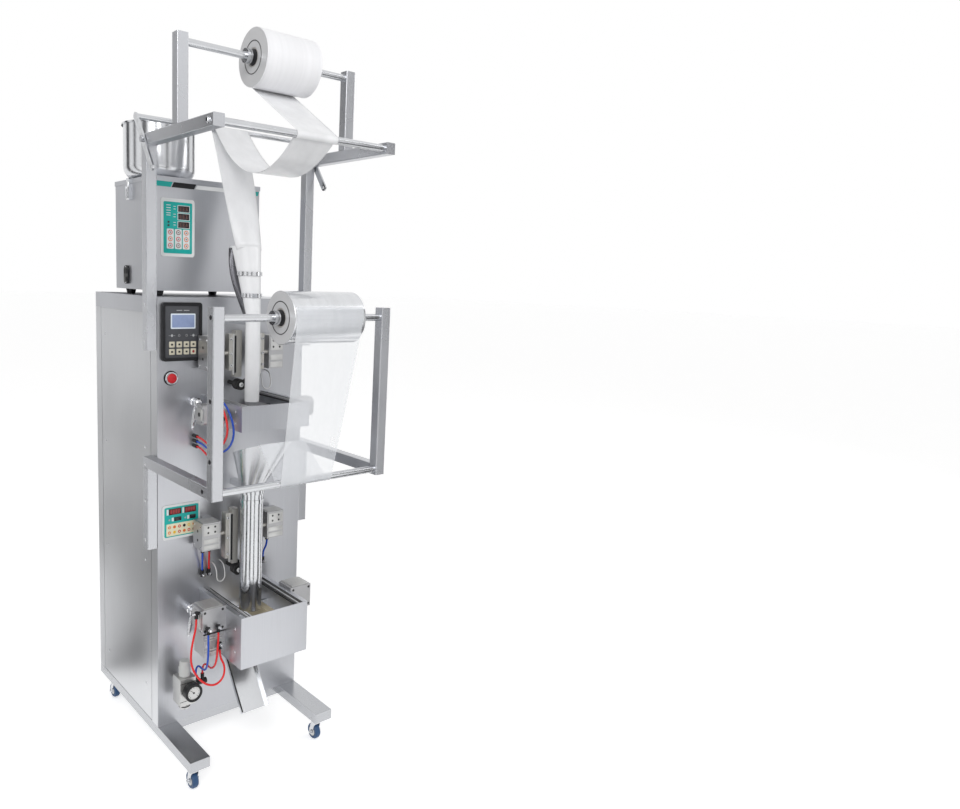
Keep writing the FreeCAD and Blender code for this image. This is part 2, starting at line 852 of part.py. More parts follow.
def make_film_frames():
    """Square tube frames on both sides that carry the film rods."""
    posts = []
    arms = []
    uprights = []
    front = size.front_y
    tube = size.tube_size
    upper_front = front - size.upper_arm_reach
    lower_front = front - size.lower_arm_reach
    upright_back = front - size.upright_setback
    for side, name in SIDES:
        low, high = side_range(side, cabinet_side, tube_outside)
        for post_bottom, post_top in ((size.upper_post_bottom, size.upper_arm_bottom),
                                      (size.lower_post_bottom, size.lower_arm_bottom)):
            posts.append(square_bar("Z", post_bottom, post_top, low, high, front, front + tube))
        upper_arm = square_bar("Y", upper_front, front + tube, low, high,
                               size.upper_arm_bottom, size.upper_arm_bottom + tube)
        arms.append(fused([upper_arm] + make_pivot_pin(side)))
        arms.append(square_bar("Y", lower_front + tube, front + tube, low, high,
                               size.lower_arm_bottom, size.lower_arm_bottom + tube))
        uprights.append(square_bar("Z", size.upper_arm_bottom + tube, size.upright_top, low, high,
                                   upright_back - tube, upright_back))
        uprights.append(square_bar("Z", size.lower_arm_bottom, size.lower_upright_top, low, high,
                                   lower_front, lower_front + tube))
    node(grouped(posts), "frame_posts")
    node(grouped(arms), "frame_arms")
    node(grouped(uprights), "frame_uprights")


def make_film_rods():
    """Roll rods with their stop collars, and guide rods, all between the side frames."""
    radius = size.rod_radius
    rods = []
    for y, z, left, width in (
            (upper_rod_y, upper_rod_z, size.upper_roll_left, size.upper_roll_width),
            (lower_rod_y, lower_roll_rod_z, size.lower_roll_left, size.lower_roll_width)):
        pieces = [cylinder("X", -cabinet_side, cabinet_side, y, z, radius)]
        left_collar = left - size.chuck_length - size.seat_gap - size.collar_width
        right_collar = left + width + size.chuck_length + size.seat_gap
        for start in (left_collar, right_collar):
            pieces.append(cylinder("X", start, start + size.collar_width, y, z, size.collar_radius))
        rods.append(fused(pieces))
    rods.append(cylinder("X", -cabinet_side, cabinet_side, guide_rod_y, guide_rod_z, radius))
    rods.append(cylinder("X", -cabinet_side, cabinet_side, lower_rod_y, lower_guide_rod_z, radius))
    node(grouped(rods), "film_rods")


def make_film_rolls():
    """Two wound film rolls on paper cores, with end chucks that run on the rods."""
    bore = size.rod_radius + size.running_clearance
    for label, left, width, radius, y, z in (
            ("upper_film_roll", size.upper_roll_left, size.upper_roll_width, size.upper_roll_radius,
             upper_rod_y, upper_rod_z),
            ("lower_film_roll", size.lower_roll_left, size.lower_roll_width, size.lower_roll_radius,
             lower_rod_y, lower_roll_rod_z)):
        core = size.core_radius
        recess = size.core_recess
        chuck = size.chuck_radius
        proud = size.chuck_length
        roll = turned((
            (bore, -proud), (chuck, -proud), (chuck, recess), (core, recess), (core, 0), (radius, 0),
            (radius, width), (core, width), (core, width - recess), (chuck, width - recess),
            (chuck, width + proud), (bore, width + proud),
        ))
        node(place(roll, left, y, z, (0, 1, 0), 90), label)


def make_dancer():
    """Two flat swing arms on pivot pins, joined at the top by a round bar."""
    pieces = []
    arm_inner = tube_outside + size.dancer_arm_gap
    arm_outer = arm_inner + size.dancer_arm_thickness
    half = size.dancer_arm_width / 2
    tail_y = size.front_y - size.dancer_tail_reach
    rise = size.dancer_bar_rise.number + size.dancer_tail_drop.number
    run = size.dancer_bar_setback.number + size.dancer_tail_reach.number
    lean = math.degrees(math.atan2(run, rise))
    for side, name in SIDES:
        low, high = side_range(side, arm_inner, arm_outer)
        body = new_body()
        sketch = new_sketch(body, "YZ_Plane", low)
        across = half * math.cos(math.radians(lean))
        along = half * math.sin(math.radians(lean))
        draw_polygon(sketch, (
            (dancer_bar_y - across, dancer_bar_z + along),
            (tail_y - across, dancer_tail_z + along),
            (tail_y + across, dancer_tail_z - along),
            (dancer_bar_y + across, dancer_bar_z - along),
        ))
        pad(body, sketch, size.dancer_arm_thickness)
        for y, z in ((dancer_bar_y, dancer_bar_z), (tail_y, dancer_tail_z)):
            rounded_end = new_sketch(body, "YZ_Plane", low)
            draw_circle(rounded_end, y, z, half)
            pad(body, rounded_end, size.dancer_arm_thickness)
        for y, z, radius in ((tail_y, dancer_tail_z, size.dancer_hole_radius),
                             (dancer_pivot_y, guide_rod_z, size.pivot_pin_radius + size.running_clearance)):
            hole = new_sketch(body, "YZ_Plane", low)
            draw_circle(hole, y, z, radius)
            pocket(body, hole, size.dancer_arm_thickness, reverse=True)
        pieces.append(body)
    pieces.append(cylinder("X", -arm_outer, arm_outer, dancer_bar_y, dancer_bar_z,
                           size.dancer_bar_radius))
    node(fused(pieces), "dancer_bar")


def make_guard_boxes():
    """Folded sheet guards in front of the jaws: two side walls and a front, open above and below."""
    for label, half, reach, bottom, height in (
            ("upper_guard_box", size.upper_box_half_width, size.upper_box_reach,
             size.upper_box_bottom, size.upper_box_height),
            ("lower_guard_box", size.lower_box_half_width, size.lower_box_reach,
             size.lower_box_bottom, size.lower_box_height)):
        body = new_body()
        sketch = new_sketch(body, "XY_Plane", bottom)
        front = size.front_y - reach
        wall = size.box_sheet
        draw_polygon(sketch, (
            (-half, size.front_y), (-half, front), (half, front), (half, size.front_y),
            (half - wall, size.front_y), (half - wall, front + wall),
            (wall - half, front + wall), (wall - half, size.front_y),
        ))
        pad(body, sketch, height)
        lip = new_sketch(body, "XY_Plane", bottom + height - wall)
        inner = half - size.box_lip
        draw_polygon(lip, (
            (-half, size.front_y), (-half, front), (half, front), (half, size.front_y),
            (inner, size.front_y), (inner, front + wall), (-inner, front + wall), (-inner, size.front_y),
        ))
        pad(body, lip, wall)
        node(body, label)


def jaw_rod_places(reach):
    """The two Y places of a box's guide rods."""
    return (size.front_y - size.guide_inset, size.front_y - reach + size.guide_inset)


def make_jaws():
    """Transverse sealing jaws that run on round guide rods inside the guard boxes."""
    rods = []
    for level, half, reach, opening, height, z in (
            ("upper", size.upper_box_half_width, size.upper_box_reach, size.upper_jaw_open,
             size.upper_jaw_height, size.upper_jaw_z),
            ("lower", size.lower_box_half_width, size.lower_box_reach, size.lower_jaw_open,
             size.lower_jaw_height, size.lower_jaw_z)):
        inside = half - size.box_sheet
        rod_z = z + height / 2
        for y in jaw_rod_places(reach):
            rods.append(cylinder("X", -inside, inside, y, rod_z, size.guide_radius))
        back = size.front_y - size.jaw_end_gap
        front = size.front_y - reach + size.box_sheet + size.jaw_end_gap
        for side, name in SIDES:
            low, high = side_range(side, opening, opening + size.jaw_thickness)
            jaw = box(low, high, front, back, z, z + height)
            bore = size.guide_radius + size.guide_clearance
            holes = [cylinder("X", low - size.overlap, high + size.overlap, y, rod_z, bore)
                     for y in jaw_rod_places(reach)]
            node(cut(jaw, *holes), f"{level}_jaw_{name}")
    node(grouped(rods), "jaw_guides")


def make_sealers(jaw_cylinders):
    """Vertical seal bars on piston rods, behind both film tubes, with their air cylinders."""
    blocks = list(jaw_cylinders)
    for level, inner, bottom, top, outer, block_bottom, block_height in (
            ("upper", size.upper_bar_inner, size.upper_bar_bottom, size.upper_bar_top,
             size.upper_block_outer, size.upper_block_bottom, size.upper_block_height),
            ("lower", size.lower_bar_inner, size.lower_bar_bottom, size.lower_bar_top,
             size.lower_block_outer, size.lower_block_bottom, size.lower_block_height)):
        front = size.front_y - size.bar_front
        back = size.front_y - size.bar_back
        block_inner = inner + size.bar_thickness + size.carriage_gap + size.carriage_thickness
        carriage_inner = inner + size.bar_thickness
        middle_y = (front + back) / 2
        middle_z = block_bottom + block_height / 2
        for side, name in SIDES:
            bar = box(*side_range(side, inner, inner + size.bar_thickness), front, back, bottom, top)
            carriage_outer = carriage_inner + size.carriage_thickness
            carriage = box(*side_range(side, carriage_inner, carriage_outer), front, back,
                           bottom + size.carriage_shorter, top - size.carriage_shorter / 2)
            piston_end = block_inner + size.piston_reach
            piston = cylinder("X", *side_range(side, carriage_outer - size.overlap, piston_end),
                              middle_y, middle_z, size.piston_radius)
            node(fused([bar, carriage, piston]), f"{level}_seal_bar_{name}")
            block_back = size.front_y - size.block_back
            block = box(*side_range(side, block_inner, outer), size.front_y - size.block_front,
                        block_back, block_bottom, block_bottom + block_height)
            foot = box(*side_range(side, block_inner, block_inner + size.block_foot_width), block_back,
                       size.front_y, block_bottom, block_bottom + block_height)
            bore_end = block_inner + size.piston_bore_depth
            bore = cylinder("X", *side_range(side, block_inner - size.overlap, bore_end),
                            middle_y, middle_z, size.piston_radius + size.guide_clearance)
            blocks.append(cut(fused([block, foot]), bore))
    lower_wall = size.lower_box_half_width
    for side, name in SIDES:
        front = size.front_y - size.jaw_cylinder_front
        back = size.front_y - size.jaw_cylinder_back
        jaw_cylinder = box(*side_range(side, lower_wall, lower_wall + size.jaw_cylinder_length), front, back,
                           size.jaw_cylinder_bottom, size.jaw_cylinder_top)
        blocks.append(jaw_cylinder)
        blocks.append(box(*side_range(side, lower_wall, lower_wall + size.valve_length),
                          front + size.valve_setback, back, size.valve_bottom, size.valve_top))
    node(grouped(blocks), "air_cylinders")


def make_pull_wheels():
    """Pairs of rubber rollers that pull the film fin down, on shafts from the front plate."""
    for level, z in (("upper", size.upper_wheel_z), ("lower", size.lower_wheel_z)):
        for side, name in SIDES:
            front = size.pull_wheel_front
            back = front - size.pull_wheel_width
            shaft = size.pull_shaft_radius
            rim = size.pull_wheel_radius
            hub = size.pull_hub_radius
            face = front - size.pull_hub_recess
            end = front + size.pull_shaft_proud
            wheel = turned((
                (0, size.seat_gap), (shaft, size.seat_gap), (shaft, back), (rim, back), (rim, front),
                (hub, front), (hub, face), (shaft, face), (shaft, end), (0, end),
            ))
            node(place(wheel, side * size.pull_wheel_offset, size.front_y, z, (1, 0, 0), 90),
                 f"{level}_pull_wheel_{name}")


def make_handles():
    """Clamp levers: a polished ball with a tapered arm hanging down to the left."""
    for label, x, z in (("upper_handle", size.upper_handle_x, size.upper_handle_z),
                        ("lower_handle", size.lower_handle_x, size.lower_handle_z)):
        ball = doc.addObject("Part::Sphere", "Ball")
        bind(ball, Radius=size.ball_radius)
        arm = doc.addObject("Part::Cone", "Arm")
        bind(arm, Radius1=size.handle_tip_radius, Radius2=size.handle_root_radius,
             Height=size.handle_length)
        place(arm, 0, 0, -size.handle_length)
        tip = doc.addObject("Part::Sphere", "Tip")
        bind(tip, Radius=size.handle_tip_radius)
        place(tip, 0, 0, -size.handle_length)
        lever = fused([ball, arm, tip])
        y = size.front_y - size.boss_length - size.seat_gap - size.ball_radius
        place(lever, x, y, z, (0, 1, 0), size.handle_angle.number)
        lever.setExpression("Placement.Rotation.Angle", size.handle_angle.text)
        node(lever, label)


def make_regulator():
    """Air filter regulator with its bowl, pressure gauge and adjusting knob."""
    left = size.regulator_left
    right = left + size.regulator_width
    front = size.front_y - size.regulator_front
    back = size.front_y - size.regulator_back
    bottom = size.regulator_bottom
    top = bottom + size.regulator_height
    middle_x = left + size.regulator_width / 2
    middle_y = (front + back) / 2
    body = box(left, right, front, back, bottom, top)
    half = size.regulator_bracket_half
    inset = size.regulator_bracket_inset
    bracket = box(middle_x - half, middle_x + half, back, size.front_y, bottom + inset, top - inset)
    bowl = cylinder("Z", bottom - size.bowl_height, bottom, middle_x, middle_y, size.bowl_radius)
    gauge_back = front - size.gauge_stem
    gauge = cylinder("Y", gauge_back - size.gauge_depth, gauge_back, size.gauge_x, size.gauge_z,
                     size.gauge_radius)
    stem = cylinder("Y", gauge_back - size.overlap, front, size.gauge_x, size.gauge_z,
                    size.gauge_stem_radius)
    node(fused([body, bracket, bowl, stem, gauge]), "air_regulator")
    grip = size.knob_radius
    knob = turned(((0, 0), (grip, 0), (grip, size.knob_height - size.edge_chamfer),
                   (grip - size.edge_chamfer, size.knob_height), (0, size.knob_height)))
    node(place(knob, middle_x, middle_y, top + size.seat_gap), "regulator_knob")


def make_chute():
    """Folded discharge chute that slopes forward from the front plate under the lower jaws."""
    body = new_body()
    sketch = new_sketch(body, "XY_Plane")
    half = size.chute_width / 2
    wall = size.chute_wall
    flange = size.chute_flange
    draw_polygon(sketch, (
        (-half, 0), (half, 0), (half, flange), (half - wall, flange), (half - wall, wall),
        (wall - half, wall), (wall - half, flange), (-half, flange),
    ))
    pad(body, sketch, size.chute_length)
    slope = size.chute_angle.number
    place(body, 0, size.front_y, size.chute_top_z, (1, 0, 0), 90 + slope)
    tab = box(-half, half, size.front_y - wall, size.front_y,
              size.chute_top_z - size.chute_tab_drop, size.chute_top_z + size.chute_tab_rise)
    node(fused([body, tab]), "discharge_chute")


def web_section(x, y, z, direction, width, thickness):
    """A thin rectangle across the film at one station, square to the way it runs in Y and Z."""
    normal = FreeCAD.Vector(0, -direction.z, direction.y).normalize() * (thickness / 2)
    half = FreeCAD.Vector(width / 2, 0, 0)
    centre = FreeCAD.Vector(x, y, z)
    corners = [centre - half - normal, centre + half - normal,
               centre + half + normal, centre - half + normal]
    return Part.makePolygon(corners + corners[:1])


def web_solid(stations):
    """A film strip lofted through stations given as (x, y, z, width)."""
    thickness = size.film_thickness.number
    sections = []
    for index, (x, y, z, width) in enumerate(stations):
        before = stations[max(index - 1, 0)]
        after = stations[min(index + 1, len(stations) - 1)]
        direction = FreeCAD.Vector(0, after[1] - before[1], after[2] - before[2]).normalize()
        sections.append(web_section(x, y, z, direction, width, thickness))
    return Part.makeLoft(sections, True, True)


def arc_stations(y, z, radius, start, end, count):
    """Points on a circle in the YZ plane between two angles in degrees."""
    angles = [math.radians(start + (end - start) * step / count) for step in range(count + 1)]
    return [(y + radius * math.cos(angle), z + radius * math.sin(angle)) for angle in angles]


def contact_angle(y, z, radius, far_y, far_z, far_radius, side):
    """Angle on a circle where a line that touches it and a second circle leaves it.

    A negative far_radius puts the line on the other side of the second circle.
    """
    run = far_y - y
    rise = far_z - z
    bearing = math.degrees(math.atan2(rise, run))
    return bearing + side * math.degrees(math.acos((radius - far_radius) / math.hypot(run, rise)))


def strip(path, first_x, last_x, width, last_width):
    """Stations along a film path, drifting sideways and narrowing from the first to the last."""
    lengths = [0]
    for (y0, z0), (y1, z1) in zip(path, path[1:]):
        lengths.append(lengths[-1] + math.hypot(y1 - y0, z1 - z0))
    stations = []
    for (y, z), length in zip(path, lengths):
        share = length / lengths[-1]
        x = first_x + (last_x - first_x) * share
        stations.append((x, y, z, width + (last_width - width) * share))
    return web_solid(stations)


def make_upper_web():
    """Upper film: off the roll, over the front rod, a slack loop, over the dancer, down to the funnel."""
    gap = size.film_gap.number + size.film_thickness.number / 2
    width = size.upper_web_width.number
    roll = (upper_rod_y.number, upper_rod_z.number, size.upper_roll_radius.number + gap)
    rod = (guide_rod_y.number, guide_rod_z.number, size.rod_radius.number + gap)
    bar = (dancer_bar_y.number, dancer_bar_z.number, size.dancer_bar_radius.number + gap)
    leave_roll = contact_angle(*roll, rod[0], rod[1], -rod[2], 1)
    path = arc_stations(*roll, leave_roll + size.upper_wrap_angle.number, leave_roll, 4)
    path += arc_stations(*rod, leave_roll + 180, size.loop_start_angle.number + 360, 7)
    start_y, start_z = path[-1]
    rise = bar[1] - start_z
    run = bar[0] - start_y
    steepness = (rise + 4 * size.loop_sag.number) / run
    meet_bar = math.degrees(math.atan(steepness)) + 90
    end_y = bar[0] + bar[2] * math.cos(math.radians(meet_bar))
    end_z = bar[1] + bar[2] * math.sin(math.radians(meet_bar))
    steps = 12
    for step in range(1, steps):
        share = step / steps
        sag = 4 * size.loop_sag.number * share * (1 - share)
        path.append((start_y + (end_y - start_y) * share, start_z + (end_z - start_z) * share - sag))
    front_y = funnel_top_y.number - size.funnel_top_radius.number - gap
    leave_bar = contact_angle(*bar, front_y, funnel_top_z.number, 0, 1)
    path += arc_stations(*bar, meet_bar, leave_bar, 6)
    path.append((front_y, funnel_top_z.number))
    roll_middle = size.upper_roll_left.number + size.upper_roll_width.number / 2
    return strip(path, roll_middle, 0, width, size.upper_web_end_width.number)


def make_lower_web():
    """Lower film: down the front of the roll, round the guide rod and up to the forming collar."""
    gap = size.film_gap.number + size.film_thickness.number / 2
    roll = (lower_rod_y.number, lower_roll_rod_z.number, size.lower_roll_radius.number + gap)
    rod = (lower_rod_y.number, lower_guide_rod_z.number, size.rod_radius.number + gap)
    rim_y = size.front_y.number - size.collar_rim_front.number - gap
    rim_z = size.collar_rim_front_z.number
    leave_roll = contact_angle(*roll, *rod, -1)
    leave_rod = contact_angle(*rod, rim_y, rim_z, 0, -1)
    path = arc_stations(*roll, leave_roll - size.lower_wrap_angle.number, leave_roll, 4)
    path += arc_stations(*rod, leave_roll, leave_rod, 6)
    path.append((rim_y, rim_z))
    roll_middle = size.lower_roll_left.number + size.lower_roll_width.number / 2
    return strip(path, roll_middle, 0, size.lower_web_width.number, size.lower_web_end_width.number)


def make_webs():
    """Both films as thin solids."""
    for label, shape in (("upper_web", make_upper_web()), ("lower_web", make_lower_web())):
        feature = doc.addObject("Part::Feature", label)
        feature.Shape = shape
        node(feature, label)


def ring(x, y, z, inner, outer, height):
    """A flat band round a vertical axis."""
    return place(turned(((inner, 0), (outer, 0), (outer, height), (inner, height))), x, y, z)


def oblique_funnel(neck_radius, top_radius, name):
    """Solid cone that leans back, from the round neck of the filling tube to the funnel's top."""
    circles = []
    for y, z, radius in ((upper_tube_y, size.funnel_neck_height, neck_radius),
                         (funnel_top_y, funnel_top_z, top_radius)):
        centre = FreeCAD.Vector(0, y.number, z.number)
        edge = Part.Circle(centre, FreeCAD.Vector(0, 0, 1), radius.number).toShape()
        circles.append(Part.Wire(edge))
    feature = doc.addObject("Part::Feature", name)
    feature.Shape = Part.makeLoft(circles, True, True)
    return feature


def funnel_share(z):
    """How far up the funnel a height lies: 0 at its neck and 1 at its top."""
    return (as_value(z) - size.funnel_neck_height) / size.funnel_height


def make_upper_former():
    """Leaning feed funnel with a long filling tube, its bracket, and the bands that hold the film."""
    wall = size.tube_wall
    neck = size.funnel_neck_height
    outer = size.upper_tube_radius
    rim = size.funnel_top_radius
    bottom = size.upper_tube_bottom
    skin = cut(oblique_funnel(outer, rim, "Funnel"), oblique_funnel(outer - wall, rim - wall, "FunnelInside"))
    tube = ring(0, upper_tube_y, bottom, outer - wall, outer, neck - bottom)
    arm_z = neck - size.bracket_height - size.bracket_drop
    arm = box(-size.bracket_width / 2, size.bracket_width / 2, upper_tube_y + outer - wall, size.front_y,
              arm_z, arm_z + size.bracket_height)
    pieces = [fused([skin, tube, arm])]
    gap = size.film_gap + size.film_thickness + size.film_gap
    for rise in (size.wide_band_rise, size.narrow_band_rise):
        share = funnel_share(neck + rise + size.band_height)
        low_share = funnel_share(neck + rise)
        middle = upper_tube_y + size.funnel_lean * (share + low_share) / 2
        slip = size.funnel_lean * (share - low_share) / 2
        inner = outer + (rim - outer) * share + slip + gap
        pieces.append(ring(0, middle, neck + rise, inner, inner + size.band_thickness, size.band_height))
    node(grouped(pieces), "upper_former")


def make_lower_former():
    """Sheet forming collar: a tilted funnel from its neck to an oval rim, with its clamp and bracket."""
    wall = size.tube_wall.number
    neck_radius = size.lower_tube_radius.number + size.seat_gap.number + wall
    rim_front = FreeCAD.Vector(0, size.front_y.number - size.collar_rim_front.number,
                               size.collar_rim_front_z.number)
    rim_back = FreeCAD.Vector(0, size.front_y.number - size.collar_rim_back.number,
                              size.collar_rim_back_z.number)
    rim_centre = (rim_front + rim_back) / 2
    along = (rim_front - rim_centre).normalize()
    half_long = (rim_front - rim_centre).Length
    half_wide = size.collar_rim_half_width.number
    neck_centre = FreeCAD.Vector(0, lower_tube_y.number, size.collar_neck_z.number)

    def funnel(shrink):
        """The solid inside the collar's skin, made smaller by the wall."""
        rim = Part.Ellipse(rim_centre + along * (half_long - shrink),
                           rim_centre + FreeCAD.Vector(half_wide - shrink, 0, 0), rim_centre)
        neck = Part.Circle(neck_centre, FreeCAD.Vector(0, 0, 1), neck_radius - shrink).toShape()
        neck.rotate(neck_centre, FreeCAD.Vector(0, 0, 1), -90)
        return Part.makeLoft([Part.Wire(neck), Part.Wire(rim.toShape())], True, True)

    feature = doc.addObject("Part::Feature", "Collar")
    feature.Shape = funnel(0).cut(funnel(wall))
    arm_z = size.collar_neck_z - size.bracket_height - size.bracket_drop
    inner = size.lower_tube_radius + size.seat_gap
    clamp = ring(0, lower_tube_y, arm_z, inner, inner + size.tube_wall * 2,
                 size.collar_neck_z + size.bracket_drop - arm_z)
    arm = box(-size.bracket_width / 2, size.bracket_width / 2, lower_tube_y + inner + size.tube_wall,
              size.front_y, arm_z, arm_z + size.bracket_height)
    node(fused([feature, clamp, arm]), "lower_former")


def make_forming_tube():
    """Long lower forming tube with its clamp ring."""
    outer = size.lower_tube_radius
    wall = size.tube_wall
    ring_z = size.clamp_ring_z
    tube = turned((
        (outer - wall, size.lower_tube_bottom), (outer, size.lower_tube_bottom), (outer, ring_z),
        (outer + wall, ring_z), (outer + wall, ring_z + size.band_height),
        (outer, ring_z + size.band_height), (outer, size.lower_tube_top),
        (outer - wall, size.lower_tube_top),
    ))
    node(place(tube, 0, lower_tube_y, 0), "forming_tube")


def make_film_sleeve():
    """Upper film shaped round the funnel and the filling tube, down to the jaws."""
    gap = size.film_gap
    skin = size.film_thickness
    neck = size.funnel_neck_height
    inner = size.upper_tube_radius + gap
    rim = size.funnel_top_radius + gap
    bottom = size.upper_tube_bottom - size.sleeve_overhang
    cone = cut(oblique_funnel(inner + skin, rim + skin, "FilmCone"), oblique_funnel(inner, rim, "FilmConeInside"))
    sleeve = fused([cone, ring(0, upper_tube_y, bottom, inner, inner + skin, neck - bottom)])
    slot_width = size.bracket_width / 2 + gap
    slot = box(-slot_width, slot_width, upper_tube_y, size.front_y, bottom - size.overlap, neck)
    node(cut(sleeve, slot), "upper_film_sleeve")


AXES = "XYZ"
FORWARD = ("Y", -1)
UP = ("Z", 1)
DOWN = ("Z", -1)
OUT_LEFT = ("X", -1)
OUT_RIGHT = ("X", 1)
fittings = []


def moved(point, way, distance):
    """A bound point moved along an axis, the way that its sign says."""
    axis, sign = way
    index = AXES.index(axis)
    step = as_value(distance) * sign
    return tuple(as_value(value) + step if place_index == index else as_value(value)
                 for place_index, value in enumerate(point))


def peg(point, way, length, radius):
    """A round bar that starts at a point and runs along an axis."""
    axis, _ = way
    index = AXES.index(axis)
    others = [as_value(value) for place_index, value in enumerate(point) if place_index != index]
    ends = sorted((as_value(point[index]), moved(point, way, length)[index]), key=lambda end: end.number)
    return cylinder(axis, *ends, *others, radius)


def straight_port(point, way):
    """Round push-in fitting that stands on a face; returns the middle of its port."""
    fittings.append(peg(point, way, size.port_length, size.port_radius))
    return moved(point, way, size.port_length)


def elbow(point, base, port):
    """Push-in elbow: a stub off a face, then a port at a right angle to it; returns the port's middle."""
    corner = moved(point, base, size.elbow_rise)
    stub = peg(point, base, size.elbow_rise, size.stub_radius)
    start = moved(corner, port, -size.port_radius)
    fittings.append(fused([stub, peg(start, port, size.elbow_reach + size.port_radius, size.port_radius)]))
    return moved(corner, port, size.elbow_reach)


def vector(point):
    """The plain vector of a bound point."""
    return FreeCAD.Vector(*(as_value(value).number for value in point))


def hose_points(start, leaving, middle, arriving, end, lead):
    """Route from port to port: a straight lead off each, and between them offsets from the start port.

    Where the end port has moved, each point between moves by its share of the way along the list.
    """
    begin = vector(start)
    finish = vector(end)
    drift = finish - begin - FreeCAD.Vector(*middle[-1])
    count = len(middle) - 1
    points = [begin, vector(moved(start, leaving, lead))]
    for index, offset in enumerate(middle[:-1], 1):
        points.append(begin + FreeCAD.Vector(*offset) + drift * (index / (count + 1)))
    points += [vector(moved(end, arriving, lead)), finish]
    return points


def hose_tube(name, points, diameter):
    """A round tube along straight runs joined by tangent arcs; prints the bend radii of its route."""
    edges = []
    radii = []
    last = points[0]
    for before, corner, after in zip(points, points[1:], points[2:]):
        inward = (corner - before).normalize()
        outward = (after - corner).normalize()
        half_turn = inward.getAngle(outward) / 2
        reach = min((corner - before).Length, (after - corner).Length) * BEND_SHARE
        radii.append(reach / math.tan(half_turn))
        first = corner - inward * reach
        second = corner + outward * reach
        towards = (outward - inward).normalize()
        middle = corner + towards * (radii[-1] / math.cos(half_turn) - radii[-1])
        edges.append(Part.makeLine(last, first))
        edges.append(Part.Arc(first, middle, second).toShape())
        last = second
    edges.append(Part.makeLine(last, points[-1]))
    path = Part.Wire(edges)
    section = Part.Wire(Part.Circle(points[0], points[1] - points[0], diameter / 2).toShape())
    tube = path.makePipeShell([section], True, True)
    expected = path.Length * math.pi * diameter ** 2 / 4
    print(f"{name}: length {path.Length:.0f} mm, radii {min(radii):.0f} to {max(radii):.0f} mm, "
          f"volume {tube.Volume / expected:.3f} of section times length")
    for point in points:
        print("   ", *(round(value, 1) for value in point))
    return tube


def make_upper_hoses():
    """Upper jaw cylinders, and the three hoses that curve forward from the plate to the left one."""
    cylinders = []
    half = size.upper_cylinder_half
    for side, name in SIDES:
        low, high = side_range(side, size.upper_box_half_width,
                               size.upper_box_half_width + size.upper_cylinder_length)
        body = new_body()
        sketch = new_sketch(body, "YZ_Plane", low)
        draw_rounded_box(sketch, upper_cylinder_y - half, upper_cylinder_y + half,
                         upper_cylinder_z - half, upper_cylinder_z + half, size.upper_cylinder_corner)
        pad(body, sketch, high - low)
        cylinders.append(body)
    pitch = size.upper_port_pitch
    ports = [straight_port((size.upper_port_x, size.front_y, size.upper_port_z - pitch * step), FORWARD)
             for step in range(3)]
    top = upper_cylinder_z + half
    outer_end = elbow((size.cylinder_port_x - size.cylinder_port_pitch, upper_cylinder_y, top), UP, FORWARD)
    inner_end = elbow((size.cylinder_port_x, upper_cylinder_y, top), UP, FORWARD)
    front_end = elbow((size.cylinder_port_x, upper_cylinder_y - half, upper_cylinder_z), FORWARD, DOWN)
    hoses = [
        ("red_hose_upper_outer", hose_points(ports[0], FORWARD, (
            (0, -51.5, -7), (1, -82.5, -10), (1, -111.5, -5), (0, -135.5, 11), (-2, -152.5, 34),
            (-5, -156.5, 59), (-9, -147.5, 86), (-12, -102.5, 102)), FORWARD, outer_end, 22)),
        ("blue_hose_upper", hose_points(ports[1], FORWARD, (
            (1, -52.5, -7), (5, -83.5, -12), (9, -113.5, -5), (11, -138.5, 11), (11, -156.5, 35),
            (9, -160.5, 62), (5, -148.5, 93), (2, -102.5, 114)), FORWARD, inner_end, 22)),
        ("red_hose_upper_inner", hose_points(ports[2], FORWARD, (
            (-3, -48.5, -6), (-9, -75.5, -7), (-13, -100.5, 2), (-13, -119.5, 19), (-7, -128.5, 41),
            (2, -123.5, 85)), DOWN, front_end, 22)),
    ]
    return cylinders, hoses


def make_stack_hoses():
    """Hoses that loop in front of the lower left cylinders and go down to the air regulator's tee."""
    outside = -(size.lower_box_half_width + size.jaw_cylinder_length)
    supply = elbow((outside, stack_front + size.supply_port_inset, size.supply_port_z), OUT_LEFT, DOWN)
    valve = elbow((size.valve_port_x, valve_front, size.valve_port_z), FORWARD, DOWN)
    right = elbow((size.stack_port_x, stack_front, size.stack_port_z), FORWARD, DOWN)
    left = elbow((size.stack_port_x - size.stack_port_pitch, stack_front, size.stack_port_z), FORWARD, DOWN)
    tee_y = size.front_y - (size.regulator_front + size.regulator_back) / 2
    tee_left = size.regulator_left + size.regulator_width
    tee = [peg((tee_left, tee_y, size.gauge_z), OUT_RIGHT, size.tee_length, size.tee_radius)]
    tee_ports = []
    for inset in (size.tee_inset, size.tee_inset + size.tee_pitch):
        base = (tee_left + inset, tee_y, size.gauge_z)
        tee.append(peg(base, UP, size.tee_rise, size.port_radius))
        tee_ports.append(moved(base, UP, size.tee_rise))
    fittings.append(fused(tee))
    return [
        ("red_hose_loop", hose_points(supply, DOWN, (
            (-8, -2, -48), (-16, -6, -76), (-19, -12, -104), (-11, -21, -130), (7, -30, -152),
            (32, -34, -162), (55, -33, -149), (61, -27, -123), (51, -19.5, -80)), DOWN, valve, 22)),
        ("blue_hose_supply", hose_points(left, DOWN, (
            (-1, -2.5, -35), (-2, -3.5, -58), (-1, 2.5, -79), (3, 16.5, -96), (8, 36.5, -108),
            (13, 57.5, -115), (17, 77.5, -118.5), (18, 90.5, -126), (18, 98, -154)), UP, tee_ports[0], 15)),
        ("red_hose_supply", hose_points(right, DOWN, (
            (-3, -3.5, -35), (-6, -5.5, -58), (-6, 0.5, -79), (-4, 14.5, -96), (0, 35.5, -108),
            (5, 57.5, -115), (9, 77.5, -118.5), (10, 90.5, -126), (10, 98, -154)), UP, tee_ports[1], 15)),
    ]


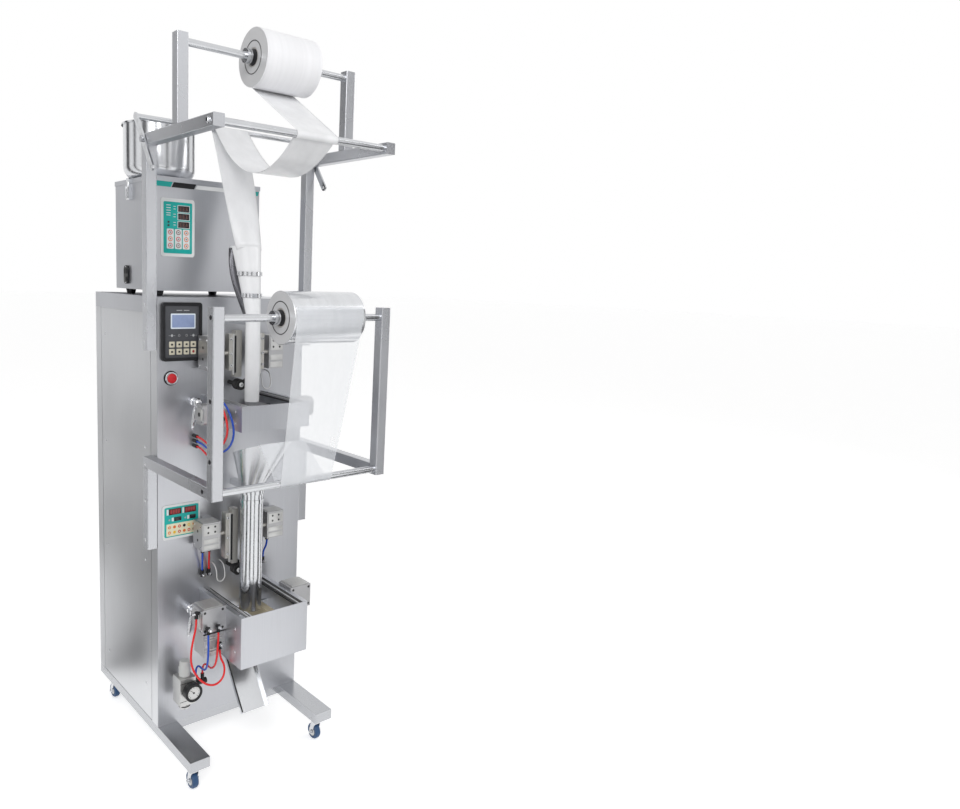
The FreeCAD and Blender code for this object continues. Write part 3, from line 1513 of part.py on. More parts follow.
def make_sealer_hoses():
    """Short hoses from the lower sealers' cylinders down to elbows on the plate."""
    hoses = []
    for side, name in SIDES:
        for colour, top_x, low_x in (
                ("inner", size.sealer_port_x, size.plate_port_x),
                ("outer", size.sealer_port_x + size.sealer_port_pitch,
                 size.plate_port_x + size.sealer_port_pitch)):
            top = straight_port((top_x * side, size.front_y - size.sealer_port_setback,
                                 size.lower_block_bottom), DOWN)
            low = elbow((low_x * side, size.front_y, size.plate_port_z), FORWARD, UP)
            lead = size.sealer_lead.number
            points = [vector(top), vector(moved(top, DOWN, lead)), vector(moved(low, UP, lead)), vector(low)]
            hoses.append((f"{colour}_hose_{name}", points))
    return hoses


def cable_loop(side, inner_x, z):
    """A heater cable that hangs in a loop between two holes in the front plate."""
    start = vector(((inner_x + size.cable_span) * side, size.front_y, z))
    offsets = (
        (0, 0, 0), (0, -12.5, 0), (0, -23.5, -7), (0, -28.5, -20), (0, -29.5, -35), (7, -29, -43),
        (17, -28, -43), (24, -27, -35), (24, -25.5, -21), (24, -21.5, -9), (24, -12.5, 0), (24, 0, 0),
    )
    stretch = size.cable_span.number / offsets[-1][0]
    return [start + FreeCAD.Vector(-side * x * stretch, y, z) for x, y, z in offsets]


def make_hoses():
    """Air hoses and heater cables as soft tubes, with the fittings that they end on."""
    cylinders, hoses = make_upper_hoses()
    hoses += make_stack_hoses()
    hoses += make_sealer_hoses()
    cables = [
        ("cable_lower_left", cable_loop(LEFT, size.heater_cable_x, size.lower_cable_z)),
        ("cable_lower_right", cable_loop(RIGHT, size.heater_cable_x, size.lower_cable_z)),
        ("cable_upper_right", cable_loop(RIGHT, size.upper_cable_x, size.upper_cable_z)),
    ]
    for label, routes, diameter in (("air_hoses", hoses, size.hose_diameter),
                                    ("cables", cables, size.cable_diameter)):
        tubes = [hose_tube(name, points, diameter.number) for name, points in routes]
        feature = doc.addObject("Part::Feature", label)
        feature.Shape = Part.makeCompound(tubes)
        node(feature, label)
    node(grouped(fittings), "air_fittings")
    return cylinders


make_base_frame()
make_casters()
make_cabinet()
make_filler()
make_panels()
make_film_frames()
make_film_rods()
make_film_rolls()
make_dancer()
make_guard_boxes()
make_jaws()
make_sealers(make_hoses())
make_pull_wheels()
make_handles()
make_regulator()
make_chute()
make_webs()
make_upper_former()
make_lower_former()
make_forming_tube()
make_film_sleeve()
doc.recompute()

for thing in doc.Objects:
    if "Invalid" in thing.State or "Error" in thing.State:
        raise RuntimeError(f"{thing.Label} ({thing.Name}) failed: {thing.State}")
for piece in nodes:
    if piece.Shape.isNull() or not piece.Shape.isValid():
        raise RuntimeError(f"{piece.Label} has no valid shape")

os.makedirs("parts", exist_ok=True)
for piece in nodes:
    piece.Shape.exportStep(f"parts/{piece.Label}.step")
print(f"{len(nodes)} sub-parts written")
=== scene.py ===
"""The looks of a vertical form fill seal machine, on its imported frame, in metres."""
import math

import bpy
import numpy as np
from mathutils import Matrix, Vector


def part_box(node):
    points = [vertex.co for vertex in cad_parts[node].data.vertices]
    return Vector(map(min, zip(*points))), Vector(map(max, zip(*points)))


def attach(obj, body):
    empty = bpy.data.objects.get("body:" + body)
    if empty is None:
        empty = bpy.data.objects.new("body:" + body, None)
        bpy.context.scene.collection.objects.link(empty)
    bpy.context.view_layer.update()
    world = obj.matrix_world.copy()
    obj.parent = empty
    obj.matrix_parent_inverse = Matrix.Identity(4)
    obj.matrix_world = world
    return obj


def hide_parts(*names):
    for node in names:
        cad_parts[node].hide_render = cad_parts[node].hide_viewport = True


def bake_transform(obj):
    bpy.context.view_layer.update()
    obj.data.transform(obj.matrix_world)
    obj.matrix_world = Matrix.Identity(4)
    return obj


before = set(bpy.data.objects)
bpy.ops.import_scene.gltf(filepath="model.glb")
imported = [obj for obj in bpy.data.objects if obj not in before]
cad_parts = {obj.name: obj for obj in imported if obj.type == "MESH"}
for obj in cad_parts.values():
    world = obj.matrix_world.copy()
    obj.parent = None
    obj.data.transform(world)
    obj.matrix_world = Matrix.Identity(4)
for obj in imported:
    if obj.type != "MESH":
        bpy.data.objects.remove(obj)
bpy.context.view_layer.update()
MM = 0.001
BAND_HEIGHT = 1.8
ARC_STEPS = 5
FILM_THICKNESS = 0.0003
SHEET_THICKNESS = 0.001
HOSE_DIAMETER = 0.005
WIRE_DIAMETER = 0.003
SEALER_HOSE_LENGTH = 0.055
WIRE_LENGTH = 0.134


# Surfaces: a patch is an array of points and a list of arrays of faces

def grid_patch(points, around=False):
    """Quads over a grid of points, rows by columns; around joins the last column to the first."""
    rows, columns = points.shape[:2]
    index = np.arange(rows * columns).reshape(rows, columns)
    if around:
        index = np.hstack([index, index[:, :1]])
    quads = np.stack([index[:-1, :-1], index[:-1, 1:], index[1:, 1:], index[1:, :-1]], axis=-1)
    return points.reshape(-1, 3), [quads.reshape(-1, 4)]


def ring_patch(rings):
    """A closed skin over rings of equal length: quads between them and one flat face on each end."""
    points, faces = grid_patch(rings, around=True)
    count = rings.shape[1]
    start = np.arange(count)[::-1][None, :]
    end = (np.arange(count) + (len(rings) - 1) * count)[None, :]
    return points, faces + [start, end]


def lathe(profile, sides=24, corners=0):
    """(radius, height) points turned about Z. With corners, every ring's radius follows a regular
    polygon: r cos(pi/n) / cos(((a + pi/n) mod 2 pi/n) - pi/n)."""
    profile = np.asarray(profile, float)
    angle = np.arange(sides) * 2 * math.pi / sides
    shape = np.ones(sides)
    if corners:
        half = math.pi / corners
        shape = math.cos(half) / np.cos((angle + half) % (2 * half) - half)
    radius = np.maximum(profile[:, :1], 1e-6) * shape
    height = np.repeat(profile[:, 1:2], sides, axis=1)
    return ring_patch(np.stack([radius * np.cos(angle), radius * np.sin(angle), height], axis=-1))


def outline(width, height, corner):
    """A rounded rectangle about the origin: four quarter arcs, one about each corner's centre."""
    corner = min(corner, width / 2 - 1e-5, height / 2 - 1e-5)
    turn = np.linspace(0, math.pi / 2, ARC_STEPS)
    angle = (turn + np.arange(4)[:, None] * math.pi / 2).ravel()
    sign_x = np.repeat([1, -1, -1, 1], ARC_STEPS)
    sign_y = np.repeat([1, 1, -1, -1], ARC_STEPS)
    return np.stack([
        sign_x * (width / 2 - corner) + corner * np.cos(angle),
        sign_y * (height / 2 - corner) + corner * np.sin(angle),
    ], axis=-1)


def slab(width, height, depth, corner=1.5, edge=0.5, dish=0.0, rim=0.0):
    """A rounded rectangle carried up through its depth; the last rings step in round the edge, and
    with a rim they go down again into a dish."""
    rings = [(0, 0), (0, depth - edge), (edge * 0.3, depth - edge * 0.3), (edge, depth)]
    if rim:
        rings += [(rim, depth), (rim + edge, depth - dish)]
    return ring_patch(np.stack([
        np.column_stack([outline(width - 2 * step, height - 2 * step, max(corner - step, 0.2)),
                         np.full(4 * ARC_STEPS, level)])
        for step, level in rings
    ]))


def sweep(path, radius, sides=12, upright=(0, 0, 1)):
    """A circle carried along a path; each ring lies square to the path's direction there."""
    path = np.asarray(path, float)
    along = np.gradient(path, axis=0)
    along /= np.linalg.norm(along, axis=1, keepdims=True)
    across = np.cross(along, upright)
    across /= np.linalg.norm(across, axis=1, keepdims=True)
    over = np.cross(across, along)
    angle = np.arange(sides) * 2 * math.pi / sides
    radius = np.broadcast_to(np.asarray(radius, float), (len(path),))[:, None, None]
    spokes = (across[:, None, :] * np.cos(angle)[None, :, None]
              - over[:, None, :] * np.sin(angle)[None, :, None])
    return ring_patch(path[:, None, :] + radius * spokes)


def through(points, count=40):
    """A smooth line through points: Catmull-Rom cubics, evenly stepped."""
    points = np.asarray(points, float)
    padded = np.vstack([2 * points[0] - points[1], points, 2 * points[-1] - points[-2]])
    place = np.linspace(0, len(points) - 1 - 1e-9, count)
    span = place.astype(int)
    t = (place - span)[:, None]
    a, b, c, d = padded[span], padded[span + 1], padded[span + 2], padded[span + 3]
    return 0.5 * (2 * b + (c - a) * t + (2 * a - 5 * b + 4 * c - d) * t ** 2
                  + (3 * b - a - 3 * c + d) * t ** 3)


# A facing's three rows say where a patch's own X, Y and Z point in the machine.
FACINGS = {
    "front": ((1, 0, 0), (0, 0, 1), (0, -1, 0)),
    "back": ((-1, 0, 0), (0, 0, 1), (0, 1, 0)),
    "left": ((0, -1, 0), (0, 0, 1), (-1, 0, 0)),
    "right": ((0, 1, 0), (0, 0, 1), (1, 0, 0)),
    "up": ((1, 0, 0), (0, 1, 0), (0, 0, 1)),
    "down": ((1, 0, 0), (0, -1, 0), (0, 0, -1)),
}


def put(patch, facing, x, y, z, turn=0):
    """Turns a patch about its own Z by degrees, points that Z the way it faces, and moves it."""
    points, faces = patch
    c, s = math.cos(math.radians(turn)), math.sin(math.radians(turn))
    rotated = np.column_stack([c * points[:, 0] - s * points[:, 1],
                               s * points[:, 0] + c * points[:, 1], points[:, 2]])
    return rotated @ np.array(FACINGS[facing], float) + (x, y, z), faces


def block(x0, x1, y0, y1, z0, z1, edge=0.6):
    """A box between two corners with rounded edges, facing the front."""
    return put(slab(x1 - x0, z1 - z0, y1 - y0, corner=edge, edge=edge), "front",
               (x0 + x1) / 2, y1, (z0 + z1) / 2)


def cap_screw(radius, height=None):
    """A cylinder head with a rounded rim and a hexagon socket, on its seat."""
    height = height or radius * 1.1
    head = lathe([(radius, 0), (radius, height * 0.8), (radius * 0.9, height),
                  (radius * 0.55, height)], 24)
    socket = lathe([(radius * 0.55, height), (radius * 0.5, height * 0.5)], 24, 6)
    return [head, socket]


def pan_screw(radius):
    """A low domed head: its height falls with the square of the radius."""
    share = np.linspace(1, 0.05, 6)
    dome = lathe([(radius, 0)] + [(radius * s, radius * 0.45 * (1 - s ** 2)) for s in share], 20)
    return [dome]


def hex_bolt(radius):
    """A round washer with a six-sided head on it."""
    washer = lathe([(radius * 1.35, 0), (radius * 1.35, 0.8), (radius * 1.25, 1.0)], 24)
    head = lathe([(radius, 0.9), (radius, radius * 0.75), (radius * 0.9, radius * 0.85)], 24, 6)
    return [washer, head]


def several(patches, facing, places, turn=0):
    """A list of patches, copied to each place."""
    return [put(patch, facing, *spot, turn=turn) for spot in places for patch in patches]


def plate_on(x0, x1, z0, z1, y, depth=0.5, corner=1.0):
    """A thin rounded plate that lies on a face that looks to the front."""
    sheet = slab(x1 - x0, z1 - z0, depth, corner, depth * 0.3)
    return put(sheet, "front", (x0 + x1) / 2, y, (z0 + z1) / 2)


def tag(x0, x1, z0, z1, lean, y, depth=0.5):
    """A flat strip whose ends lean: its top edge is moved sideways by lean."""
    corners = np.array([(x0, z0), (x1, z0), (x1 + lean, z1), (x0 + lean, z1)], float)
    level = np.array([y, y - depth])[:, None]
    rings = np.stack([np.broadcast_to(corners[:, 0], (2, 4)), np.broadcast_to(level, (2, 4)),
                      np.broadcast_to(corners[:, 1], (2, 4))], axis=-1)
    return ring_patch(rings)


def disc(radius, depth):
    """A low round button with a rounded rim."""
    return lathe([(radius, 0), (radius, depth * 0.6), (radius - depth * 0.4, depth)], 28)


def turned(section, sides):
    """A closed section of (radius, height) points carried once round Z."""
    angle = np.arange(sides) * 2 * math.pi / sides
    radius, height = np.array(section, float).T
    points = np.stack([radius[:, None] * np.cos(angle), radius[:, None] * np.sin(angle),
                       np.repeat(height[:, None], sides, axis=1)], axis=-1)
    return grid_patch(points, around=True)


def band(inner, outer, depth):
    """A flat ring with a hole: its section is a rectangle."""
    return turned([(inner, 0), (outer, 0), (outer, depth), (inner, depth), (inner, 0)], 40)


class Span:
    """The box of one or more CAD pieces, in millimetres."""

    def __init__(self, *nodes):
        boxes = [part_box(node) for node in nodes]
        self.x0, self.y0, self.z0 = np.min([low for low, _ in boxes], axis=0) / MM
        self.x1, self.y1, self.z1 = np.max([high for _, high in boxes], axis=0) / MM
        self.x, self.y = (self.x0 + self.x1) / 2, (self.y0 + self.y1) / 2
        self.z = (self.z0 + self.z1) / 2
        self.width, self.height = self.x1 - self.x0, self.z1 - self.z0


def show(name, patches, finish, body="machine", slot=None, replaces=(), sharp=32):
    """One object made of patches in millimetres, on its body, in place of the CAD pieces named."""
    points, loops, totals, shift = [], [], [], 0
    for patch_points, face_sets in patches:
        points.append(patch_points)
        for faces in face_sets:
            loops.append((faces + shift).ravel())
            totals.append(np.full(len(faces), faces.shape[1]))
        shift += len(patch_points)
    totals = np.concatenate(totals)
    mesh = bpy.data.meshes.new(name)
    mesh.vertices.add(shift)
    mesh.vertices.foreach_set("co", (np.vstack(points) * MM).astype(np.float32).ravel())
    loops = np.concatenate(loops).astype(np.int32)
    mesh.loops.add(len(loops))
    mesh.loops.foreach_set("vertex_index", loops)
    mesh.polygons.add(len(totals))
    mesh.polygons.foreach_set("loop_start", (np.cumsum(totals) - totals).astype(np.int32))
    mesh.polygons.foreach_set("use_smooth", np.ones(len(totals), bool))
    mesh.update(calc_edges=True)
    mesh.validate()
    mesh.set_sharp_from_angle(angle=math.radians(sharp))
    mesh.materials.append(finish)
    thing = bpy.data.objects.new(name, mesh)
    bpy.context.scene.collection.objects.link(thing)
    if body:
        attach(thing, body)
    slot or ("black_plastic" if finish in BLACK_FINISHES else "stainless")
    if replaces:
        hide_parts(*replaces)
    return thing


# Finishes

class Finish:
    """A material and the few node calls that its makers share."""

    def __init__(self, name, colour, metallic=0.0, roughness=0.5, **sockets):
        self.material = bpy.data.materials.new(name)
        self.material.use_nodes = True
        self.tree = self.material.node_tree
        self.shader = self.tree.nodes["Principled BSDF"]
        self.colour = colour
        self.shader.inputs["Base Color"].default_value = (*colour, 1)
        self.shader.inputs["Metallic"].default_value = metallic
        self.shader.inputs["Roughness"].default_value = roughness
        for socket, value in sockets.items():
            self.shader.inputs[socket.replace("_", " ")].default_value = value
        self.place = self.node("ShaderNodeTexCoord").outputs["Object"]

    def node(self, kind, **settings):
        made = self.tree.nodes.new(kind)
        for name, value in settings.items():
            setattr(made, name, value)
        return made

    def link(self, source, target):
        self.tree.links.new(source, target)

    def mapped(self, stretch):
        """The object's own coordinates, scaled."""
        mapping = self.node("ShaderNodeMapping")
        mapping.inputs["Scale"].default_value = stretch
        self.link(self.place, mapping.inputs["Vector"])
        return mapping.outputs["Vector"]

    def noise(self, scale, detail, stretch=(1, 1, 1), rough=0.55):
        texture = self.node("ShaderNodeTexNoise")
        texture.inputs["Scale"].default_value = scale
        texture.inputs["Detail"].default_value = detail
        texture.inputs["Roughness"].default_value = rough
        self.link(self.mapped(stretch), texture.inputs["Vector"])
        return texture.outputs["Fac"]

    def ramp(self, source, *stops, ease="LINEAR"):
        """Stops are (position, value or colour)."""
        node = self.node("ShaderNodeValToRGB")
        elements = node.color_ramp.elements
        node.color_ramp.interpolation = ease
        while len(elements) < len(stops):
            elements.new(0.5)
        for element, (position, value) in zip(elements, stops):
            element.position = position
            element.color = (*value, 1) if np.ndim(value) else (value, value, value, 1)
        self.link(source, node.inputs["Fac"])
        return node.outputs["Color"]

    def shade(self, source, darkest, lightest):
        """The base colour times a factor that follows the source."""
        stops = [(0.25, tuple(c * darkest for c in self.colour)),
                 (0.75, tuple(min(c * lightest, 1) for c in self.colour))]
        self.link(self.ramp(source, *stops), self.shader.inputs["Base Color"])

    def paint_reflection_bands(self, factors):
        """Painted reflection bands: the base colour times factors spread evenly over BAND_HEIGHT, eased
        between them, as light and shade that stand in for the studio's reflections.
        """
        split = self.node("ShaderNodeSeparateXYZ")
        self.link(self.mapped((1, 1, 1 / BAND_HEIGHT)), split.inputs[0])
        steps = np.linspace(0, 1, len(factors))
        level = self.ramp(split.outputs["Z"], *zip(steps, factors), ease="EASE")
        mix = self.node("ShaderNodeMix", data_type="RGBA", blend_type="MULTIPLY")
        mix.inputs["Factor"].default_value = 1
        base = self.shader.inputs["Base Color"]
        self.link(base.links[0].from_socket, mix.inputs["A"])
        self.link(level, mix.inputs["B"])
        self.link(mix.outputs["Result"], base)

    def gloss(self, source, smoothest, roughest):
        """A roughness that follows the source."""
        level = self.ramp(source, (0.25, smoothest), (0.75, roughest))
        self.link(level, self.shader.inputs["Roughness"])

    def relief(self, source, height, strength):
        """Bumps as high as the source, over a depth in metres."""
        bump = self.node("ShaderNodeBump")
        bump.inputs["Distance"].default_value = height
        bump.inputs["Strength"].default_value = strength
        self.link(source, bump.inputs["Height"])
        self.link(bump.outputs["Normal"], self.shader.inputs["Normal"])


def brushed(name, colour, stretch, roughness=0.32, metallic=0.9, bands=()):
    """Sheet steel: fine streaks along the grain, painted reflection bands of light and shade over the
    height of the machine, broad clouds, and small changes of gloss."""
    finish = Finish(name, colour, metallic, roughness)
    streaks = finish.noise(1.0, 6, stretch, 0.6)
    clouds = finish.noise(4.0, 2)
    finish.shade(streaks, 0.95, 1.04)
    # the bands are painted reflections: light and shade over the height, not the steel's own colour
    if bands:
        finish.paint_reflection_bands(bands)
    finish.gloss(clouds, roughness * 0.85, roughness * 1.2)
    finish.relief(streaks, 0.00012, 0.25)
    return finish.material


def polished(name, colour, roughness=0.09):
    """Turned or chromed metal: nearly a mirror, with faint marks left by handling."""
    finish = Finish(name, colour, 1.0, roughness)
    marks = finish.noise(90, 5)
    finish.gloss(marks, roughness * 0.6, roughness * 1.7)
    finish.shade(finish.noise(14, 3), 0.94, 1.03)
    return finish.material


def blasted(name, colour, roughness=0.42):
    """Bead-blasted aluminium: a fine even grain."""
    finish = Finish(name, colour, 0.85, roughness)
    grain = finish.noise(2600, 2)
    finish.shade(finish.noise(30, 4), 0.93, 1.04)
    finish.gloss(grain, roughness * 0.85, roughness * 1.15)
    finish.relief(grain, 0.00005, 0.5)
    return finish.material


def moulded(name, colour, roughness=0.4, grain=1800, height=0.00004, **sockets):
    """Moulded plastic or rubber: a fine skin texture and slightly uneven gloss."""
    finish = Finish(name, colour, 0.0, roughness, **sockets)
    skin = finish.noise(grain, 3)
    finish.shade(finish.noise(22, 3), 0.94, 1.05)
    finish.gloss(skin, roughness * 0.85, roughness * 1.2)
    finish.relief(skin, height, 0.5)
    return finish.material


def film(name, colour, cover, roughness=0.25):
    """Plastic film: see-through by its cover, with long faint streaks along its pull."""
    finish = Finish(name, colour, 0.0, roughness, Specular_IOR_Level=0.6)
    creases = finish.noise(9.0, 4, (2.0, 2.0, 0.6))
    finish.shade(creases, 0.98, 1.02)
    finish.link(finish.ramp(creases, (0.3, cover * 0.93), (0.7, min(cover * 1.08, 1))),
                finish.shader.inputs["Alpha"])
    finish.relief(creases, 0.0006, 0.2)
    finish.material.surface_render_method = "BLENDED"
    return finish.material


def wound_finish(name, colour, metallic, roughness):
    """Wound film: soft bands that follow each other along the roll's width."""
    finish = Finish(name, colour, metallic, roughness, Specular_IOR_Level=0.6)
    bands = finish.noise(1.0, 4, (60, 2, 2))
    finish.shade(bands, 0.93, 1.04)
    finish.relief(bands, 0.0004, 0.3)
    return finish.material


def glowing(name, colour, light):
    """A lit display: a dark glossy face that gives a little of its own colour."""
    finish = Finish(name, colour, 0.0, 0.12)
    finish.shader.inputs["Emission Color"].default_value = (*colour, 1)
    finish.shader.inputs["Emission Strength"].default_value = light
    finish.shade(finish.noise(120, 2), 0.95, 1.05)
    return finish.material


GRAIN_UP = (900, 900, 9)
GRAIN_ACROSS = (9, 900, 900)
GRAIN_BACK = (900, 9, 900)
GRAIN_TUBE = (420, 420, 420)
GRAIN_NONE = (300, 300, 300)
# painted light: reflection bands of light and shade on STEEL, STEEL_SIDE, STEEL_TUBE; STEEL_SIDE is a
# lighter copy
STEEL = brushed("sheet_steel_brushed", (0.56, 0.57, 0.60), GRAIN_UP, 0.34,
                bands=(0.90, 1.0, 1.0, 0.88, 0.98, 1.0))
STEEL_SIDE = brushed("sheet_steel_side_painted_light", (0.70, 0.71, 0.73), GRAIN_UP, 0.34,
                     bands=(1.0, 0.98, 0.62, 0.72, 1.0, 0.60, 0.70, 0.95))
STEEL_LEVEL = brushed("sheet_steel_level_grain", (0.55, 0.56, 0.59), GRAIN_ACROSS)
STEEL_TUBE = brushed("square_tube_satin", (0.62, 0.63, 0.66), GRAIN_TUBE, 0.26,
                     bands=(0.84, 1.0, 0.84, 1.0, 0.86, 1.0))
STEEL_BRIGHT = brushed("steel_mirror_worn", (0.68, 0.69, 0.71), GRAIN_NONE, 0.20, 1.0)
STEEL_WING = brushed("funnel_wing_dark", (0.10, 0.10, 0.11), GRAIN_NONE, 0.25)
STEEL_FUNNEL = brushed("steel_collar_polished", (0.60, 0.61, 0.63), GRAIN_NONE, 0.20, 1.0)
CHROME = polished("chrome_plate", (0.66, 0.67, 0.69))
ROD = polished("ground_rod", (0.62, 0.63, 0.65), 0.14)
STEEL_BASE = brushed("base_tube_satin", (0.50, 0.51, 0.53), GRAIN_BACK, 0.24, 0.95)
ALUMINIUM = blasted("aluminium_blasted", (0.50, 0.50, 0.51))
ALUMINIUM_LIGHT = blasted("aluminium_pale", (0.62, 0.62, 0.61), 0.36)
BAR_GREY = blasted("seal_bar_cream_grey", (0.50, 0.49, 0.46), 0.45)
BLACK = moulded("black_plastic", (0.014, 0.014, 0.016), 0.34, Specular_IOR_Level=0.3)
BLACK_RUBBER = moulded("black_rubber", (0.022, 0.022, 0.023), 0.62, 900, 0.0001)
GREY_FACE = moulded("controller_face_grey", (0.060, 0.062, 0.070), 0.42)
NAVY = moulded("tyre_navy", (0.020, 0.075, 0.19), 0.42, 600, 0.0001)
WHITE = moulded("panel_white", (0.78, 0.79, 0.79), 0.4)
TEAL = moulded("panel_teal", (0.006, 0.42, 0.38), 0.36)
CREAM = moulded("key_cream", (0.62, 0.58, 0.46), 0.45)
CREAM_RUBBER = moulded("jaw_silicone", (0.60, 0.53, 0.38), 0.6, 700, 0.0001)
RED = moulded("cap_red", (0.56, 0.012, 0.020), 0.28)
ORANGE = moulded("symbol_orange", (0.74, 0.16, 0.02), 0.4)
YELLOW = moulded("symbol_yellow", (0.80, 0.50, 0.03), 0.4)
DISPLAY = glowing("display_dark_red", (0.050, 0.006, 0.008), 0.4)
DISPLAY_BLACK = glowing("display_black", (0.012, 0.013, 0.016), 0.2)
DIGIT_DIM = glowing("display_digit_dim", (0.075, 0.035, 0.03), 0.2)
LCD = glowing("screen_pale_blue", (0.23, 0.29, 0.46), 0.12)
LCD_EDGE = glowing("screen_edge", (0.60, 0.66, 0.72), 0.2)
ROLL_WHITE = wound_finish("roll_white_film", (0.90, 0.90, 0.92), 0.0, 0.32)
ROLL_SILVER = wound_finish("roll_silver_film", (0.72, 0.73, 0.75), 1.0, 0.22)
ROLL_END = wound_finish("roll_end_grey", (0.66, 0.66, 0.67), 0.25, 0.35)
CORE = moulded("core_tube", (0.46, 0.44, 0.42), 0.6)
HOSE_RED = moulded("hose_red", (0.78, 0.020, 0.022), 0.22, 400, 0.00002)
HOSE_BLUE = moulded("hose_blue", (0.012, 0.075, 0.50), 0.22, 400, 0.00002)
CABLE = moulded("cable_white", (0.70, 0.70, 0.70), 0.35, 500, 0.00003)
GAUGE_FACE = moulded("gauge_dial_white", (0.80, 0.80, 0.79), 0.35)
MARK_BLACK = moulded("mark_black", (0.02, 0.02, 0.02), 0.4)
MARK_DARK_RED = moulded("mark_dark_red", (0.30, 0.03, 0.03), 0.4)
BROWN = moulded("symbol_brown", (0.20, 0.045, 0.02), 0.4)
DIGIT_OFF = glowing("display_digit_red", (0.20, 0.015, 0.015), 0.5)
GREY_MARK = moulded("mark_pale_grey", (0.42, 0.43, 0.44), 0.4)
CREAM_KEYPAD = moulded("keypad_cream", (0.80, 0.76, 0.55), 0.45)
KNOB_PALE = moulded("knob_translucent_grey", (0.55, 0.56, 0.55), 0.22)
WHITE_FILM = film("film_white", (0.94, 0.945, 0.96), 0.86)
CLEAR_FILM = film("film_clear", (0.90, 0.92, 0.95), 0.30, 0.18)

BLACK_FINISHES = (BLACK, BLACK_RUBBER, MARK_BLACK)

NODE_FINISH = {
    "cabinet_housing": STEEL_SIDE, "side_panels": STEEL_SIDE, "top_cap": STEEL_LEVEL,
    "front_plate": STEEL, "filler_housing": STEEL, "filler_lid": STEEL_LEVEL,
    "frame_posts": STEEL_TUBE, "frame_arms": STEEL_TUBE, "frame_uprights": STEEL_TUBE,
    "upper_guard_box": STEEL, "lower_guard_box": STEEL, "discharge_chute": STEEL_BRIGHT,
    "hopper": STEEL_BRIGHT, "upper_former": STEEL_BRIGHT, "lower_former": STEEL_FUNNEL,
    "forming_tube": ROD, "upper_jaw_left": ALUMINIUM, "upper_jaw_right": ALUMINIUM,
    "base_frame": STEEL_BASE, "film_rods": ROD, "dancer_bar": ROD, "jaw_guides": ROD,
    "filler_latches": CHROME, "upper_handle": CHROME, "lower_handle": CHROME,
    "air_cylinders": ALUMINIUM, "filler_feet": BLACK, "power_inlet": BLACK, "controller": BLACK,
    "button_bezel": CHROME, "regulator_knob": ALUMINIUM_LIGHT, "membrane_panels": WHITE,
    "stop_button": RED, "air_fittings": BLACK,
    "lower_jaw_left": CREAM_RUBBER, "lower_jaw_right": CREAM_RUBBER,
    "upper_film_roll": WHITE_FILM, "upper_web": WHITE_FILM, "upper_film_sleeve": WHITE_FILM,
    "lower_film_roll": WHITE_FILM, "lower_web": CLEAR_FILM, "air_regulator": ALUMINIUM_LIGHT,
}
for level in ("upper", "lower"):
    for side in ("left", "right"):
        NODE_FINISH[f"{level}_seal_bar_{side}"] = BAR_GREY
        NODE_FINISH[f"{level}_pull_wheel_{side}"] = BLACK_RUBBER
for corner in ("front_left", "front_right", "rear_left", "rear_right"):
    NODE_FINISH[f"caster_fork_{corner}"] = CHROME
    NODE_FINISH[f"caster_wheel_{corner}"] = NAVY
for name, finish in NODE_FINISH.items():
    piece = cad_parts[name]
    if piece.data.materials:
        piece.data.materials[0] = finish
    else:
        piece.data.materials.append(finish)

# Camera, at the place and angle of the photograph's, with a shift that sets the same framing

CAMERA_PLACE = (-0.9306, -1.6584, 1.1947)
CAMERA_YAW = math.radians(37.8)
CAMERA_PITCH_DOWN = math.radians(8.38)
CAMERA_ROLL = math.radians(1.91)
CAMERA_LENS = 28.82
CAMERA_SHIFT = (0.1413, -0.0128)


def make_camera():
    """The view direction from yaw and pitch, then a roll about it."""
    c, s = math.cos(CAMERA_PITCH_DOWN), math.sin(CAMERA_PITCH_DOWN)
    ahead = Vector((math.sin(CAMERA_YAW) * c, math.cos(CAMERA_YAW) * c, -s))
    level = Vector((math.cos(CAMERA_YAW), -math.sin(CAMERA_YAW), 0))
    upright = level.cross(ahead)
    right = level * math.cos(CAMERA_ROLL) + upright * math.sin(CAMERA_ROLL)
    up = upright * math.cos(CAMERA_ROLL) - level * math.sin(CAMERA_ROLL)
    camera = bpy.data.cameras.new("camera")
    camera.sensor_width = 36
    camera.lens = CAMERA_LENS
    camera.shift_x, camera.shift_y = CAMERA_SHIFT
    camera.clip_start = 0.05
    stand = bpy.data.objects.new("camera", camera)
    turn = Matrix((right, up, -ahead)).transposed()
    stand.matrix_world = Matrix.Translation(CAMERA_PLACE) @ turn.to_4x4()
    bpy.context.scene.collection.objects.link(stand)
    bpy.context.scene.camera = stand


AIM = (0, 0, 0.9)
LAMPS = (("key", (-2.6, -3.0, 3.2), 2.4, 90), ("fill", (3.2, -2.2, 2.4), 2.4, 40))
AMBIENT_LIGHT = 0.50
FLOOR_GLOW = 0.50
CARD_DISTANCE = 3.4
CARD_HEIGHT = 3.6
CARD_AIM = (0, 0, 1.1)
CARD_MIDDLE_HEIGHT = 1.3
CARD_GREY = 0.05
STRIP_GREY = 0.07
CARD_TURNS_AND_WIDTHS = ((-165, 0.9), (-128, 0.7), (-92, 0.5), (-44, 1.0), (-8, 0.7), (30, 0.9),
                         (75, 0.6), (128, 1.0), (160, 0.5))
STRIP_ENDS = ((0.55, -0.09), (3.3, -0.5), (3.3, 0.5), (0.55, 0.09))


def facing_rotation(place, aim, axis):
    """The rotation that points an axis of a thing at its place towards an aim."""
    return (Vector(aim) - Vector(place)).to_track_quat(axis, "Y").to_euler()


def make_lamp(name, place, width, power):
    """A square soft box that looks at the middle of the machine."""
    light = bpy.data.lights.new(name, "AREA")
    light.size = width
    light.energy = power
    lamp = bpy.data.objects.new(name, light)
    lamp.location = place
    lamp.rotation_euler = facing_rotation(place, AIM, "-Z")
    bpy.context.scene.collection.objects.link(lamp)


